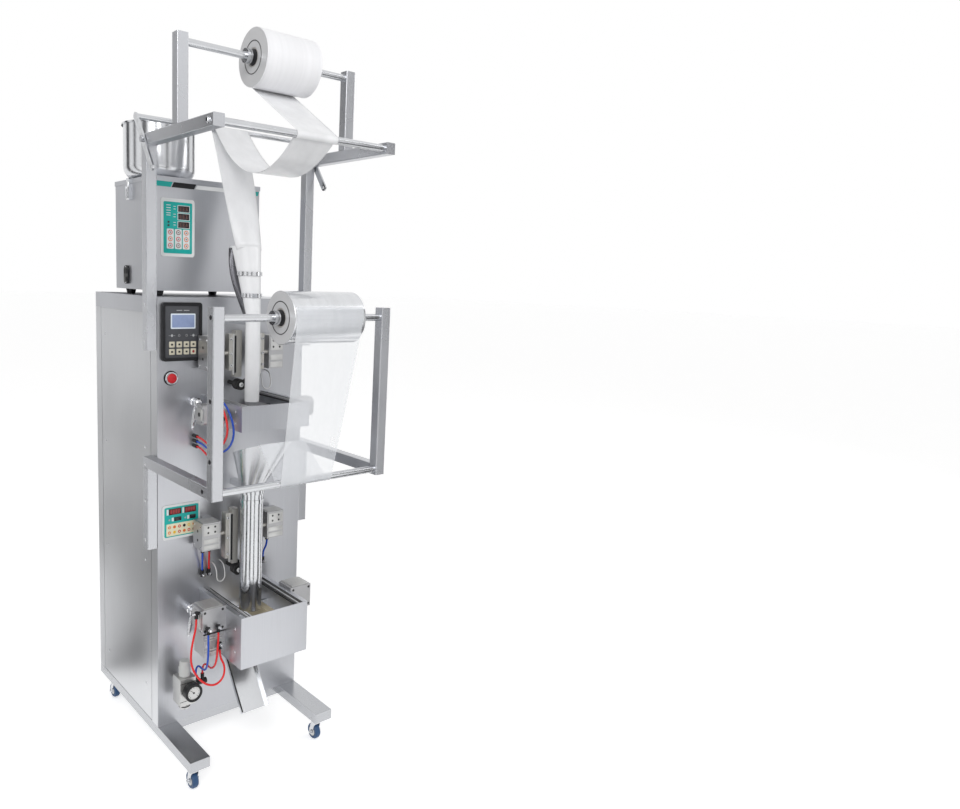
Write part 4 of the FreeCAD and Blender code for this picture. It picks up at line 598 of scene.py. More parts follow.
def where_seen(tree):
    """1 for rays from the eye, in a reflection or through something clear, else 0."""
    path = tree.nodes.new("ShaderNodeLightPath")
    source = path.outputs["Is Camera Ray"]
    for other in ("Is Glossy Ray", "Is Transmission Ray"):
        either = tree.nodes.new("ShaderNodeMath")
        either.operation = "MAXIMUM"
        tree.links.new(source, either.inputs[0])
        tree.links.new(path.outputs[other], either.inputs[1])
        source = either.outputs[0]
    return source


def make_world():
    """Even white light, and a white background wherever it is seen."""
    world = bpy.data.worlds.new("studio")
    bpy.context.scene.world = world
    world.use_nodes = True
    tree = world.node_tree
    background = tree.nodes["Background"]
    background.inputs["Color"].default_value = (1, 1, 1, 1)
    strength = tree.nodes.new("ShaderNodeMapRange")
    strength.inputs["To Min"].default_value = AMBIENT_LIGHT
    strength.inputs["To Max"].default_value = 1.0
    tree.links.new(where_seen(tree), strength.inputs["Value"])
    tree.links.new(strength.outputs[0], background.inputs["Strength"])


def make_floor():
    """A white floor that keeps the shadow and runs out into the background."""
    finish = Finish("floor_white", (0.88, 0.88, 0.88), 0.0, 0.9)
    finish.shade(finish.noise(3, 2), 0.99, 1.01)
    tree = finish.tree
    output = next(node for node in tree.nodes if node.type == "OUTPUT_MATERIAL")
    glow = tree.nodes.new("ShaderNodeEmission")
    strength = tree.nodes.new("ShaderNodeMath")
    strength.operation = "MULTIPLY"
    strength.inputs[1].default_value = FLOOR_GLOW
    tree.links.new(where_seen(tree), strength.inputs[0])
    tree.links.new(strength.outputs[0], glow.inputs["Strength"])
    both = tree.nodes.new("ShaderNodeAddShader")
    tree.links.new(finish.shader.outputs[0], both.inputs[0])
    tree.links.new(glow.outputs[0], both.inputs[1])
    tree.links.new(both.outputs[0], output.inputs["Surface"])
    reach, level = 40.0, -0.0005
    mesh = bpy.data.meshes.new("floor")
    mesh.from_pydata([(-reach, -reach, level), (reach, -reach, level), (reach, reach, level),
                      (-reach, reach, level)], [], [(0, 1, 2, 3)])
    mesh.materials.append(finish.material)
    floor = bpy.data.objects.new("floor", mesh)
    bpy.context.scene.collection.objects.link(floor)


def make_card(name, corners, grey, place=(0, 0, 0), rotation=(0, 0, 0)):
    """A dark card that only reflections see, so that bright metal shows an edge."""
    finish = Finish(name, (grey, grey, grey * 1.1), 0.0, 0.9)
    finish.shade(finish.noise(2, 2), 0.9, 1.1)
    mesh = bpy.data.meshes.new(name)
    mesh.from_pydata(corners, [], [(0, 1, 2, 3)])
    mesh.materials.append(finish.material)
    card = bpy.data.objects.new(name, mesh)
    card.location = place
    card.rotation_euler = rotation
    card.visible_camera = False
    card.visible_diffuse = False
    card.visible_shadow = False
    bpy.context.scene.collection.objects.link(card)


def make_flag(name, place, aim, width, height):
    """An upright card that looks at a point."""
    w, h = width / 2, height / 2
    make_card(name, [(-w, -h, 0), (w, -h, 0), (w, h, 0), (-w, h, 0)], CARD_GREY, place,
              facing_rotation(place, aim, "Z"))


def make_floor_strip(name, turn, width):
    """A wedge on the floor below a card, for the reflections of the lower parts: its four ends are
    given by their distance from the middle and how far aside they lie, times the card's width."""
    c, s = math.cos(math.radians(turn)), math.sin(math.radians(turn))
    corners = [(c * far - s * aside * width, s * far + c * aside * width, 0.0005)
               for far, aside in STRIP_ENDS]
    make_card(name, corners, STRIP_GREY)


def make_studio():
    """White surroundings, a ring of dark cards with their floor strips, and the lamps."""
    bpy.context.scene.view_settings.view_transform = "Standard"
    make_world()
    make_floor()
    for number, (turn, width) in enumerate(CARD_TURNS_AND_WIDTHS):
        bearing = math.radians(turn)
        place = (CARD_DISTANCE * math.cos(bearing), CARD_DISTANCE * math.sin(bearing),
                 CARD_MIDDLE_HEIGHT)
        make_flag(f"flag_{number}", place, CARD_AIM, width, CARD_HEIGHT)
        make_floor_strip(f"floor_strip_{number}", turn, width)
    make_flag("flag_low", (-0.6, -4.2, 0.15), AIM, 3.0, 0.5)
    for lamp in LAMPS:
        make_lamp(*lamp)


# Air hoses and wires: each is a smooth spline on the points of its route in the source, in millimetres

HOSES = {
    "red_hose_upper_outer": (HOSE_RED, 0.272, (
        (-108, -31.5, 813), (-108, -53.5, 813), (-108, -83, 806), (-107, -114, 803), (-107, -143, 808),
        (-108, -167, 824), (-110, -184, 847), (-113, -188, 872), (-117, -179, 899), (-120, -156, 915),
        (-120, -134, 915))),
    "blue_hose_upper": (HOSE_BLUE, 0.287, (
        (-108, -31.5, 801), (-108, -53.5, 801), (-107, -84, 794), (-103, -115, 789), (-99, -145, 796),
        (-97, -170, 812), (-97, -188, 836), (-99, -192, 863), (-103, -180, 894), (-106, -156, 915),
        (-106, -134, 915))),
    "red_hose_upper_inner": (HOSE_RED, 0.198, (
        (-108, -31.5, 789), (-108, -53.5, 789), (-111, -80, 783), (-117, -107, 782), (-121, -132, 791),
        (-121, -151, 808), (-115, -160, 830), (-106, -155, 852), (-106, -155, 874))),
    "red_hose_loop": (HOSE_RED, 0.288, (
        (-159, -135, 410), (-159, -135, 388), (-167, -137, 362), (-175, -141, 334), (-178, -147, 306),
        (-170, -156, 280), (-152, -165, 258), (-127, -169, 248), (-104, -168, 261), (-98, -162, 287),
        (-108, -154.5, 308), (-108, -154.5, 330))),
    "blue_hose_supply": (HOSE_BLUE, 0.213, (
        (-140, -158.5, 376), (-140, -158.5, 361), (-141, -161, 341), (-142, -162, 318), (-141, -156, 297),
        (-137, -142, 280), (-132, -122, 268), (-127, -101, 261), (-123, -81, 257.5), (-122, -68, 250),
        (-122, -60.5, 237), (-122, -60.5, 222))),
    "red_hose_supply": (HOSE_RED, 0.215, (
        (-114, -158.5, 376), (-114, -158.5, 361), (-117, -162, 341), (-120, -164, 318), (-120, -158, 297),
        (-118, -144, 280), (-114, -123, 268), (-109, -101, 261), (-105, -81, 257.5), (-104, -68, 250),
        (-104, -60.5, 237), (-104, -60.5, 222))),
}
SEALER_INNER = ((-74, -34, 525), (-74, -34, 509), (-69, -23.5, 488), (-69, -23.5, 472))
SEALER_OUTER = ((-92, -34, 525), (-92, -34, 509), (-87, -23.5, 488), (-87, -23.5, 472))
WIRE_LOWER_LEFT = (
    (-58, -15.5, 486), (-58, -28, 486), (-58, -39, 479), (-58, -44, 466),
    (-58, -45, 451), (-51, -44.5, 443), (-41, -43.5, 443), (-34, -42.5, 451),
    (-34, -41, 465), (-34, -37, 477), (-34, -28, 486), (-34, -15.5, 486))
WIRE_RAISED = 476
WIRE_MOVED_RIGHT = 30


def mirrored(points, move=0, rise=0):
    """The route on the other side of the machine: x changes its sign, then move and rise are added."""
    return tuple((move - x, y, z + rise) for x, y, z in points)


for side, inner, outer in (("left", SEALER_INNER, SEALER_OUTER),
                           ("right", mirrored(SEALER_INNER), mirrored(SEALER_OUTER))):
    HOSES[f"red_hose_sealer_{side}"] = (HOSE_RED, SEALER_HOSE_LENGTH, inner)
    HOSES[f"blue_hose_sealer_{side}"] = (HOSE_BLUE, SEALER_HOSE_LENGTH, outer)


def make_cord(name, finish, points, length, diameter, node):
    """A round tube on a spline of order 3 through its two ends, with the route as control points."""
    curve = bpy.data.curves.new(name, "CURVE")
    curve.dimensions = "3D"
    curve.bevel_depth = diameter / 2
    curve.bevel_resolution = 4
    curve.resolution_u = 10
    curve.use_fill_caps = True
    spline = curve.splines.new("NURBS")
    spline.points.add(len(points) - 1)
    places = np.column_stack([np.array(points, float) * MM, np.ones(len(points))])
    spline.points.foreach_set("co", places.astype(np.float32).ravel())
    spline.order_u = 3
    spline.use_endpoint_u = True
    curve.materials.append(finish)
    cord = bpy.data.objects.new(name, curve)
    bpy.context.scene.collection.objects.link(cord)
    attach(cord, "machine")
    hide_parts(node)


def make_cords():
    """The air hoses and the wires, which begin and end on the machine."""
    for name, (finish, length, points) in HOSES.items():
        make_cord(name, finish, points, length, HOSE_DIAMETER, "air_hoses")
    for name, points in (("wire_lower_left", WIRE_LOWER_LEFT),
                         ("wire_lower_right", mirrored(WIRE_LOWER_LEFT)),
                         ("wire_upper_right", mirrored(WIRE_LOWER_LEFT, WIRE_MOVED_RIGHT, WIRE_RAISED))):
        make_cord(name, CABLE, points, WIRE_LENGTH, WIRE_DIAMETER, "cables")


# Film

def make_roll(node, finish, body, core_radius=20.5, groove=34):
    """A wound roll: a cylinder with softly rounded ends, a ring groove darkened by a black ring of
    painted shade, a core set in and its chucks.
    """
    roll = Span(node)
    radius = roll.height / 2
    chuck = 8
    x0, x1 = roll.x0 + chuck, roll.x1 - chuck
    width = x1 - x0
    profile = [(core_radius, 3), (core_radius, 0.1), (groove - 0.8, 0), (groove - 0.6, 0.5),
               (groove + 0.6, 0.5), (groove + 0.8, 0), (radius - 0.5, 0), (radius, 0.5),
               (radius, width - 0.5), (radius - 0.5, width), (groove + 0.8, width),
               (groove + 0.6, width - 0.5), (groove - 0.6, width - 0.5), (groove - 0.8, width),
               (core_radius, width - 0.1), (core_radius, width - 3), (core_radius, 3)]
    show(f"{node}_wound", [put(turned(profile, 128), "right", x0, roll.y, roll.z)], finish, body, "film",
         replaces=(node,))
    core = lathe([(core_radius, -3), (core_radius, -0.8), (core_radius - 3, -0.6),
                  (core_radius - 3, -3)], 64)
    hub = lathe([(core_radius - 3, -4), (core_radius - 3, -1.6), (17.4, 0.2), (16.5, 2.5), (13.5, 4.5),
                 (13, 7.2), (12, 7.9), (8.4, 7.9)], 48)
    for part, patch, shade, slot in (
            ("ends", band(core_radius, radius - 0.8, 0.15), ROLL_END, "film"),
            # the black ring in each groove is painted shade
            ("groove_painted_shade", band(groove - 0.9, groove + 0.9, 0.7), MARK_BLACK, "black_plastic"),
            ("chucks", hub, BLACK, "black_plastic"),
            ("core_tube", core, CORE, "film")):
        both = [put(patch, facing, x, roll.y, roll.z) for facing, x in (("left", x0), ("right", x1))]
        show(f"{node}_{part}", both, shade, body, slot)


def make_rolls():
    """White film above and bright film below."""
    make_roll("upper_film_roll", ROLL_WHITE, "upper_roll")
    make_roll("lower_film_roll", ROLL_SILVER, "lower_roll")


def arc(circle, start, end, count):
    """Points on a circle (y, z, radius) between two angles: centre + radius (cos a, sin a)."""
    y, z, radius = circle
    angle = np.radians(np.linspace(start, end, count))
    return np.column_stack([y + radius * np.cos(angle), z + radius * np.sin(angle)])


def leaving(circle, y, z, radius, side):
    """Angle where a line that touches two circles leaves the first: bearing +- acos((r1 - r2) / gap)."""
    run, rise = y - circle[0], z - circle[1]
    return math.degrees(math.atan2(rise, run)
                        + side * math.acos((circle[2] - radius) / math.hypot(run, rise)))


def thicken(thing, thickness):
    """Gives a sheet its thickness, half to each side."""
    wall = thing.modifiers.new("thickness", "SOLIDIFY")
    wall.thickness = thickness
    wall.offset = 0


def film_sheet(name, path, offset, width, curl, finish):
    """A film along a path of (y, z). Its middle moves in x by offset and its width changes along it;
    across it bends on a circle of curvature curl: x = sin(c w u) / c and back by (1 - cos(c w u)) / c."""
    u = np.linspace(-1, 1, 25)[None, :]
    half = (width / 2)[:, None]
    bend = np.maximum(curl, 1e-6)[:, None]
    along = np.gradient(path, axis=0)
    along /= np.linalg.norm(along, axis=1, keepdims=True)
    back = (1 - np.cos(bend * half * u)) / bend
    points = np.stack([offset[:, None] + np.sin(bend * half * u) / bend,
                       path[:, :1] + back * -along[:, 1:2],
                       path[:, 1:2] + back * along[:, :1]], axis=-1)
    thing = show(name, [grid_patch(points)], finish, None, "film", sharp=180)
    thicken(thing, FILM_THICKNESS)
    return thing


def make_upper_web():
    """Film off the roll, over the front rod, down in a slack loop, over the dancer and to the funnel."""
    roll = (-158, 1657, 61.6)
    rod = (-310, 1482.5, 8.6)
    bar = (32.5, 1536, 6.6)
    funnel = (-98.1, 1262)
    sag = 88
    width_at_roll, width_lost, shift_at_roll, funnel_radius = 110, 26, 26, 37.5
    leave_roll = leaving(roll, rod[0], rod[1], -rod[2], 1)
    wrap = arc(roll, leave_roll + 30, leave_roll, 8)
    turn = arc(rod, leave_roll + 180, 322, 16)
    start = turn[-1]
    steepness = (bar[1] - start[1] + 4 * sag) / (bar[0] - start[0])
    meet_bar = math.degrees(math.atan(steepness)) + 90
    end = arc(bar, meet_bar, meet_bar, 1)[0]
    share = np.linspace(0, 1, 44)[1:-1, None]
    loop = start + (end - start) * share - np.array([0, 1]) * 4 * sag * share * (1 - share)
    over = arc(bar, meet_bar, leaving(bar, *funnel, 0, 1), 10)
    fall = over[-1] + (np.array(funnel) - over[-1]) * np.linspace(0, 1, 26)[1:, None]
    path = np.vstack([wrap, turn, loop, over, fall])
    steps = np.linalg.norm(np.diff(path, axis=0), axis=1)
    place = np.concatenate([[0], np.cumsum(steps)]) / steps.sum()
    split = len(wrap) + len(turn) + len(loop) + len(over) // 2
    offset = shift_at_roll * (1 - place)
    width = width_at_roll - width_lost * place
    falling = np.clip((place - place[split]) / (1 - place[split]), 0, 1)
    curl = falling ** 2 / funnel_radius
    sheets = [film_sheet(name, path[part], offset[part], width[part], curl[part], WHITE_FILM)
              for name, part in (("film_roll_to_dancer", slice(split + 1)),
                                 ("film_dancer_to_funnel", slice(split, None)))]
    for sheet in sheets:
        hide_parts("upper_web")
    upper, lower = sheets
    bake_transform(upper)
    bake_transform(lower)


# Panels

class Panel:
    """A face that looks to the front, from its lower left corner, in millimetres; out is forward."""

    def __init__(self, name, x, z, y, slot):
        self.name, self.x, self.z, self.y, self.slot = name, x, z, y, slot

    def put(self, patch, x, z, out, turn=0):
        return put(patch, "front", self.x + x, self.y - out, self.z + z, turn)

    def plate(self, x0, x1, z0, z1, out=0.3, depth=0.3, corner=1.0):
        sheet = slab(x1 - x0, z1 - z0, depth, corner, depth * 0.3)
        return self.put(sheet, (x0 + x1) / 2, (z0 + z1) / 2, out)

    def squares(self, places, half_width, half_height, out, depth, corner):
        return [self.plate(x - half_width, x + half_width, z - half_height, z + half_height,
                           out, depth, corner) for x, z in places]

    def dots(self, places, radius, out, depth):
        return [self.put(disc(radius, depth), x, z, out) for x, z in places]

    def show(self, part, patches, finish):
        show(f"{self.name}_{part}", patches, finish, slot=self.slot)


def make_filler_panel():
    """White frame, teal field, three displays, key columns with round marks."""
    panel = Panel("filler_panel", -156, 1234, 62.5, "teal_panel")
    columns, rows, displays = (24, 44.5, 65), (56.5, 41.2, 26), (112, 94, 75)
    panel.show("field", [panel.plate(7, 80.5, 7.5, 127, out=0, corner=3)], TEAL)
    panel.show("surrounds", [panel.plate(42.5, 74, z - 8.2, z + 8.2) for z in displays], WHITE)
    panel.show("displays", [panel.plate(44, 72.5, z - 6.9, z + 6.9, 0.6) for z in displays],
               DISPLAY_BLACK)
    digits = [panel.plate(x, x + 5.5, z - 4.6, z + 4.6, 0.9, 0.1, 0.3)
              for z in displays for x in (47.5, 55.5, 63.5)]
    panel.show("digits", digits, DIGIT_DIM)
    bars = [panel.plate(14, 25, z, z + 1.6, 0.3, 0.2, 0.5) for z in (118, 112, 106, 100, 95)]
    bars += [panel.plate(32, 38, z, z + 1.4, 0.3, 0.2, 0.5) for z in (116, 110, 98, 92, 79, 73)]
    backs = [panel.plate(x - 8.9, x + 8.9, 18, 64.5, 0.3, 0.5, 2.5) for x in columns]
    panel.show("keys", bars + backs, WHITE)
    spots = [(x, z) for z in rows for x in columns]
    shades = (RED, BROWN, ORANGE, ORANGE, RED, ORANGE, RED, BROWN, ORANGE)
    for shade, label in ((RED, "red"), (BROWN, "brown"), (ORANGE, "orange")):
        mine = [spot for spot, other in zip(spots, shades) if other is shade]
        panel.show(f"rings_{label}", panel.dots(mine, 5.6, 0.8, 0.3), shade)
    panel.show("ring_middles", panel.dots(spots, 3.9, 1.1, 0.2), WHITE)
    marks = panel.squares(spots, 1.8, 1.2, 1.3, 0.1, 0.6)
    marks += [panel.plate(17, 22, z, z + 4.5, 0.3, 0.2, 0.5) for z in (78, 70)]
    panel.show("marks", marks, MARK_BLACK)


def make_heat_panel():
    """White frame, teal field, two pairs of displays and a cream keypad with coloured marks."""
    panel = Panel("heat_panel", -189, 565, -17.5, "teal_panel")
    panel.show("field", [panel.plate(5, 93.5, 6, 79.5, out=0, corner=4)], TEAL)
    displays = [panel.plate(x0, x1, 60.5, 75.5, depth=0.5) for x0, x1 in ((16.4, 48), (56.6, 87))]
    panel.show("displays_red", displays, DISPLAY)
    digits = [panel.plate(x + step * 6.6, x + 5 + step * 6.6, 63, 73, 0.8, 0.1, 0.3)
              for x in (19.5, 59) for step in range(4)]
    panel.show("digits", digits, DIGIT_OFF)
    displays = [panel.plate(x0, x1, 44, 54, depth=0.5) for x0, x1 in ((29.7, 48.4), (70, 86))]
    panel.show("displays_black", displays, DISPLAY_BLACK)
    marks = [panel.plate(x0, x1, 61, 75, 0.3, 0.2, 0.6) for x0, x1 in ((10.5, 15.5), (51, 55.5))]
    marks += [panel.plate(x0, x1, 44.5, 53.5) for x0, x1 in ((23.6, 29), (63.8, 69.3))]
    panel.show("white_marks", marks, WHITE)
    panel.show("grey_marks", panel.dots([(17.6, 48.5), (58.5, 48.5)], 2.2, 0.3, 0.2), GREY_MARK)
    panel.show("keypad", [panel.plate(10, 89.5, 8.5, 38.5, corner=2)], CREAM_KEYPAD)
    columns = (17.6, 30.5, 43.4, 56, 68.2, 81.3)
    rows = ((30, (ORANGE, ORANGE, RED, MARK_BLACK, YELLOW, ORANGE)),
            (17, (ORANGE, YELLOW, RED, ORANGE, RED, BROWN)))
    keys = [(x, z, shade) for z, shades in rows for x, shade in zip(columns, shades)]
    for shade in (ORANGE, RED, MARK_BLACK, YELLOW, BROWN):
        mine = [(x, z) for x, z, other in keys if other is shade]
        panel.show(shade.name, panel.dots(mine, 3.7, 0.6, 0.5), shade)
    panel.show("key_middles", panel.dots([key[:2] for key in keys[::2]], 1.7, 1.1, 0.2), CREAM_KEYPAD)


def make_controller():
    """Dark face with a light edge line, a blue screen, a row of small signs and eight keys."""
    panel = Panel("controller", -191.4, 994, -21.5, "black_plastic")
    panel.show("edge_line", [panel.plate(5, 95, 5, 130, 0, 0.2, 5)], GREY_MARK)
    panel.show("face", [panel.plate(6, 94, 6, 129, 0, 0.5, 4.5)], GREY_FACE)
    panel.show("screen_edge", [panel.plate(21.5, 83.5, 74.5, 109.5, 0.5, 0.6, 2)], LCD_EDGE)
    panel.show("screen", [panel.plate(24.5, 80.5, 77.5, 106.5, 1.1, 0.15, 1)], LCD)
    spots = [(x, z) for z in (38.5, 21.6) for x in (24, 42.4, 60.4, 78)]
    panel.show("keys", panel.squares(spots, 6.75, 6.75, 0.5, 1.4, 1.6), CREAM)
    panel.show("key_marks", panel.squares(spots[:7], 2.6, 2.2, 1.9, 0.15, 1.0), MARK_BLACK)
    panel.show("key_red_mark", panel.dots(spots[7:], 3.2, 1.9, 0.15), MARK_DARK_RED)
    signs = [panel.put(band(2.0, 2.7, 0.15), x, 59, 0.5) for x in (42.4, 61)]
    signs += [panel.put(slab(5.2, 5.2, 0.15, 0.3, 0.05), x, 59, 0.5, 45) for x in (24.5, 78.4)]
    signs += [panel.plate(x, x + 3, 58.6, 59.4, 0.5, 0.15, 0.2) for x in (16.5, 29.5, 70.5, 83.5)]
    signs += [panel.plate(x, x + 14, 116, 117.6, 0.5, 0.15, 0.3) for x in (36, 54)]
    panel.show("signs", signs, GREY_MARK)


def make_stop_button():
    """A domed red cap in a bright ring, with a black ring round it as the ring's painted shadow."""
    x, z = -167, 954
    dome = lathe([(10.6, 0), (11.4, 0.8), (11.4, 3.2), (11.0, 4.4), (9.6, 5.3), (6.5, 5.8), (3, 5.95),
                  (0.3, 6.0)], 48)
    show("stop_button_cap", [put(dome, "front", x, -20.5, z)], RED, "stop", "red_plastic",
         replaces=("stop_button",))
    show("stop_button_ring", [put(band(12.2, 14.6, 1.0), "front", x, -21.5, z)], CHROME)
    # black ring round the bright ring: a painted shadow
    show("stop_button_painted_shadow", [put(band(14.8, 17.2, 1.6), "front", x, -15.5, z)], BLACK)


def make_banner():
    """Bare colour strips under the filler's lid."""
    y, z0, z1 = 64.5, 1394.5, 1406.5
    show("banner_teal", [tag(-177, -130, z0, z1, 5, y), tag(80, 107, z0, z1 - 1.5, 4, y)], TEAL,
         slot="teal_panel")
    show("banner_black", [tag(-128, -70, z0, z1, 6, y)], BLACK)
    show("banner_white", [tag(-66, 78, z0 + 1, z1 - 2, 5, y)], WHITE, slot="teal_panel")


def make_latches():
    """Wire bails over the lid latches, and the switch and socket in the power inlet."""
    wires = []
    for side in (-1, 1):
        x = -185.2 if side < 0 else 120.2
        loop = through([(x, 186, 1372), (x, 185.5, 1392), (x - side * 1.5, 186, 1410),
                        (x - side * 2, 191.5, 1415), (x - side * 1.5, 197, 1410), (x, 197.5, 1392),
                        (x, 197, 1372)], 30)
        wires.append(sweep(loop, 1.0, 8, (1, 0, 0)))
    show("latch_bails", wires, CHROME)
    inlet = Span("power_inlet")
    socket = slab(17, 13, 1.2, 2.5, 0.3, 0.9, 1.6)
    rocker = slab(15, 11, 2.2, 1.5, 0.8)
    show("inlet_socket", [put(socket, "left", inlet.x0, inlet.y, inlet.z + 9)], BLACK_RUBBER)
    show("inlet_switch", [put(rocker, "left", inlet.x0, inlet.y, inlet.z - 11)], MARK_BLACK)
    show("inlet_screws", several(pan_screw(1.8), "left", [(inlet.x0, inlet.y, inlet.z + z)
                                                          for z in (-20, 20)]), CHROME)


# Air parts

VALVE_SCREWS = {
    "up": [(-120, -124, 919), (-106, -124, 919)],
    "front": [(-106, -159, 884), (-108, -158.5, 340), (-114, -162.5, 386), (-140, -162.5, 386),
              (-69, -27.5, 462), (-87, -27.5, 462), (69, -27.5, 462), (87, -27.5, 462)],
    "left": [(-163, -135, 420)],
}


def facing_along(direction):
    """The facing whose own Z lies nearest to a direction."""
    return max(FACINGS, key=lambda facing: np.dot(FACINGS[facing][2], direction))


def make_fittings():
    """Release rings round each hose end, and the bright speed screws with their lock nuts."""
    collar = lathe([(3.9, 0), (3.9, 0.6), (4.8, 0.8), (4.8, 1.6), (4.4, 2.0), (2.6, 2.0)], 24)
    nut = lathe([(3.9, 0), (3.9, 1.8), (3.6, 2.1)], 24, 6)
    head = lathe([(2.4, 2.0), (2.4, 3.6), (3.2, 4.0), (3.2, 7.6), (2.8, 8.0), (1.2, 8.0)], 30, 15)
    rings, screws = [], []
    for _, _, points in HOSES.values():
        for port, following in (points[:2], points[:-3:-1]):
            rings.append(put(collar, facing_along(np.subtract(following, port)), *port))
    for facing, places in VALVE_SCREWS.items():
        screws += several([nut, head], facing, places)
    show("port_release_rings", rings, BLACK)
    show("flow_screws", screws, CHROME)


CYLINDER_Y = -124
UPPER_CYLINDER_END, UPPER_CYLINDER_Z = 148, 884
LOWER_CYLINDER_END, LOWER_CYLINDER_Z = 151, 401


def make_air_cylinder_trim():
    """End caps, bores and screws on the square cylinders; ribs on the lower ones and the valves."""
    caps, dark, bright, ribs = [], [], [], []
    for side, facing in ((-1, "left"), (1, "right")):
        outer, z = side * UPPER_CYLINDER_END, UPPER_CYLINDER_Z
        spots = [(outer, CYLINDER_Y + aside, z + rise) for aside in (-15, 15) for rise in (-15, 15)]
        bright += several(cap_screw(2.4, 1.6), facing, spots)
        caps.append(put(slab(30, 30, 1.2, 12, 0.4), facing, outer, CYLINDER_Y, z))
        dark.append(put(disc(5, 0.5), facing, outer + side * 1.2, CYLINDER_Y, z))
        outer, z = side * LOWER_CYLINDER_END, LOWER_CYLINDER_Z
        spots = [(outer, CYLINDER_Y + aside, z + rise) for aside in (-19, 19) for rise in (-22, 22)]
        bright += several(cap_screw(2.6, 1.8), facing, spots)
        caps.append(put(slab(34, 40, 1.0, 3, 0.4), facing, outer, CYLINDER_Y, z))
        start = -145 if side < 0 else 97
        ribs += [block(start, start + 48, y, y + 3.2, 430, 432.2) for y in np.arange(-147, -102, 6.4)]
        ribs += [block(start + 2, start + 46, -148.6, -146.5, z, z + 3) for z in (321, 328, 350, 357)]
        dark += [put(disc(3.2, 0.4), "front", side * x, -150.5, z)
                 for x in (99, 145) for z in (379, 423)]
        bright += several(cap_screw(2.2, 1.4), "front", [(side * x, -146.5, 339) for x in (96, 139)])
    show("cylinder_end_caps", caps, ALUMINIUM_LIGHT)
    show("cylinder_screws", bright, CHROME)
    show("cylinder_holes", dark, MARK_BLACK)
    show("cylinder_ribs", ribs, ALUMINIUM_LIGHT)


SEALER_FRONT = -75.5


def make_sealer_trim():
    """Faces and screws of the sealer cylinders, and on each bar its rails and bolts."""
    holes, pads, bright = [], [], []
    for inner, outer, z0, z1 in ((62, 103, 973, 1053), (66, 114, 541, 609)):
        middle = (inner + outer) / 2
        tall = z1 - z0
        for side in (-1, 1):
            left, right = sorted((side * (inner + 3), side * (outer - 3)))
            pads += [plate_on(left, right, z0 + tall * a, z0 + tall * b, SEALER_FRONT, 1.2, 1)
                     for a, b in ((0.04, 0.20), (0.26, 0.42), (0.56, 0.94))]
            holes += [put(disc(2.6, 0.3), "front", side * (middle + x), SEALER_FRONT - 1.2, z0 + tall * z)
                      for x in (-9, 9) for z in (0.66, 0.85)]
            pads += [block(left + 1, right - 1, y, y + 3, z1, z1 + 1.6) for y in range(-72, -43, 7)]
            facing = "left" if side < 0 else "right"
            bright += several(cap_screw(2.6, 1.6), facing,
                              [(side * outer, y, z) for y in (-69, -34) for z in (z0 + 9, z1 - 9)])
            holes += [put(disc(3.4, 0.3), facing, side * outer, -51, z0 + tall * z)
                      for z in (0.33, 0.66)]
    show("sealer_block_pads", pads, ALUMINIUM_LIGHT)
    show("sealer_block_holes", holes, MARK_BLACK)
    show("sealer_block_screws", bright, CHROME)
    for level, inner, z0, z1 in (("upper", 14, 957, 1067), ("lower", 18, 496, 634)):
        for side, name in ((-1, "left"), (1, "right")):
            body = f"{level}_bar_{name}"
            seam = side * (inner + 16)
            ends = sorted((seam - side * 1.2, seam + side * 4.2))
            groove = block(*ends, SEALER_FRONT - 0.7, SEALER_FRONT, z0 + 10, z1 - 12, 0.2)
            show(f"{body}_slot", [groove], BLACK, body)
            ends = sorted((seam + side * 4.6, seam + side * 9))
            rail = block(*ends, SEALER_FRONT - 1.7, SEALER_FRONT, z0 + 6, z1 - 8, 0.4)
            show(f"{body}_rail", [rail], ALUMINIUM_LIGHT, body)
            spots = [(seam + side * 13, SEALER_FRONT, z)
                     for z in (z1 - 20, (z0 + z1) / 2, z0 + 28)]
            show(f"{body}_bolts", several(cap_screw(3.2), "front", spots), CHROME, body)


def make_pull_wheel_hubs():
    """White hub and bright axle end in the middle of each black pull wheel."""
    hub = lathe([(5.6, 0), (5.6, 0.8), (5.0, 1.2), (3.4, 1.2), (3.2, 0.6)], 32)
    axle = lathe([(2.6, 0), (2.6, 2.2), (2.2, 2.6)], 20)
    for level, z in (("upper", 937), ("lower", 475)):
        for side, name in ((-13.5, "left"), (13.5, "right")):
            body = f"{level}_pull_{name}"
            show(f"{body}_hub", [put(hub, "front", side, -74.5, z)], WHITE, body)
            show(f"{body}_axle_end", [put(axle, "front", side, -74.5, z)], CHROME, body)


def make_caster_trim():
    """Pale hub rings on the wheels and axle nuts on the forks."""
    for end in ("front", "rear"):
        for side in ("left", "right"):
            wheel = Span(f"caster_wheel_{end}_{side}")
            fork = Span(f"caster_fork_{end}_{side}")
            rings, nuts = [], []
            for facing, x, out in (("left", wheel.x0, fork.x0), ("right", wheel.x1, fork.x1)):
                rings.append(put(band(6.2, 11.5, 0.5), facing, x, wheel.y, wheel.z))
                nuts += several(hex_bolt(3.6), facing, [(out, wheel.y, wheel.z)])
            show(f"caster_hub_{end}_{side}", rings, WHITE, f"wheel_{end}_{side}", "navy_tyre")
            show(f"caster_nuts_{end}_{side}", nuts, CHROME, f"caster_{end}_{side}")


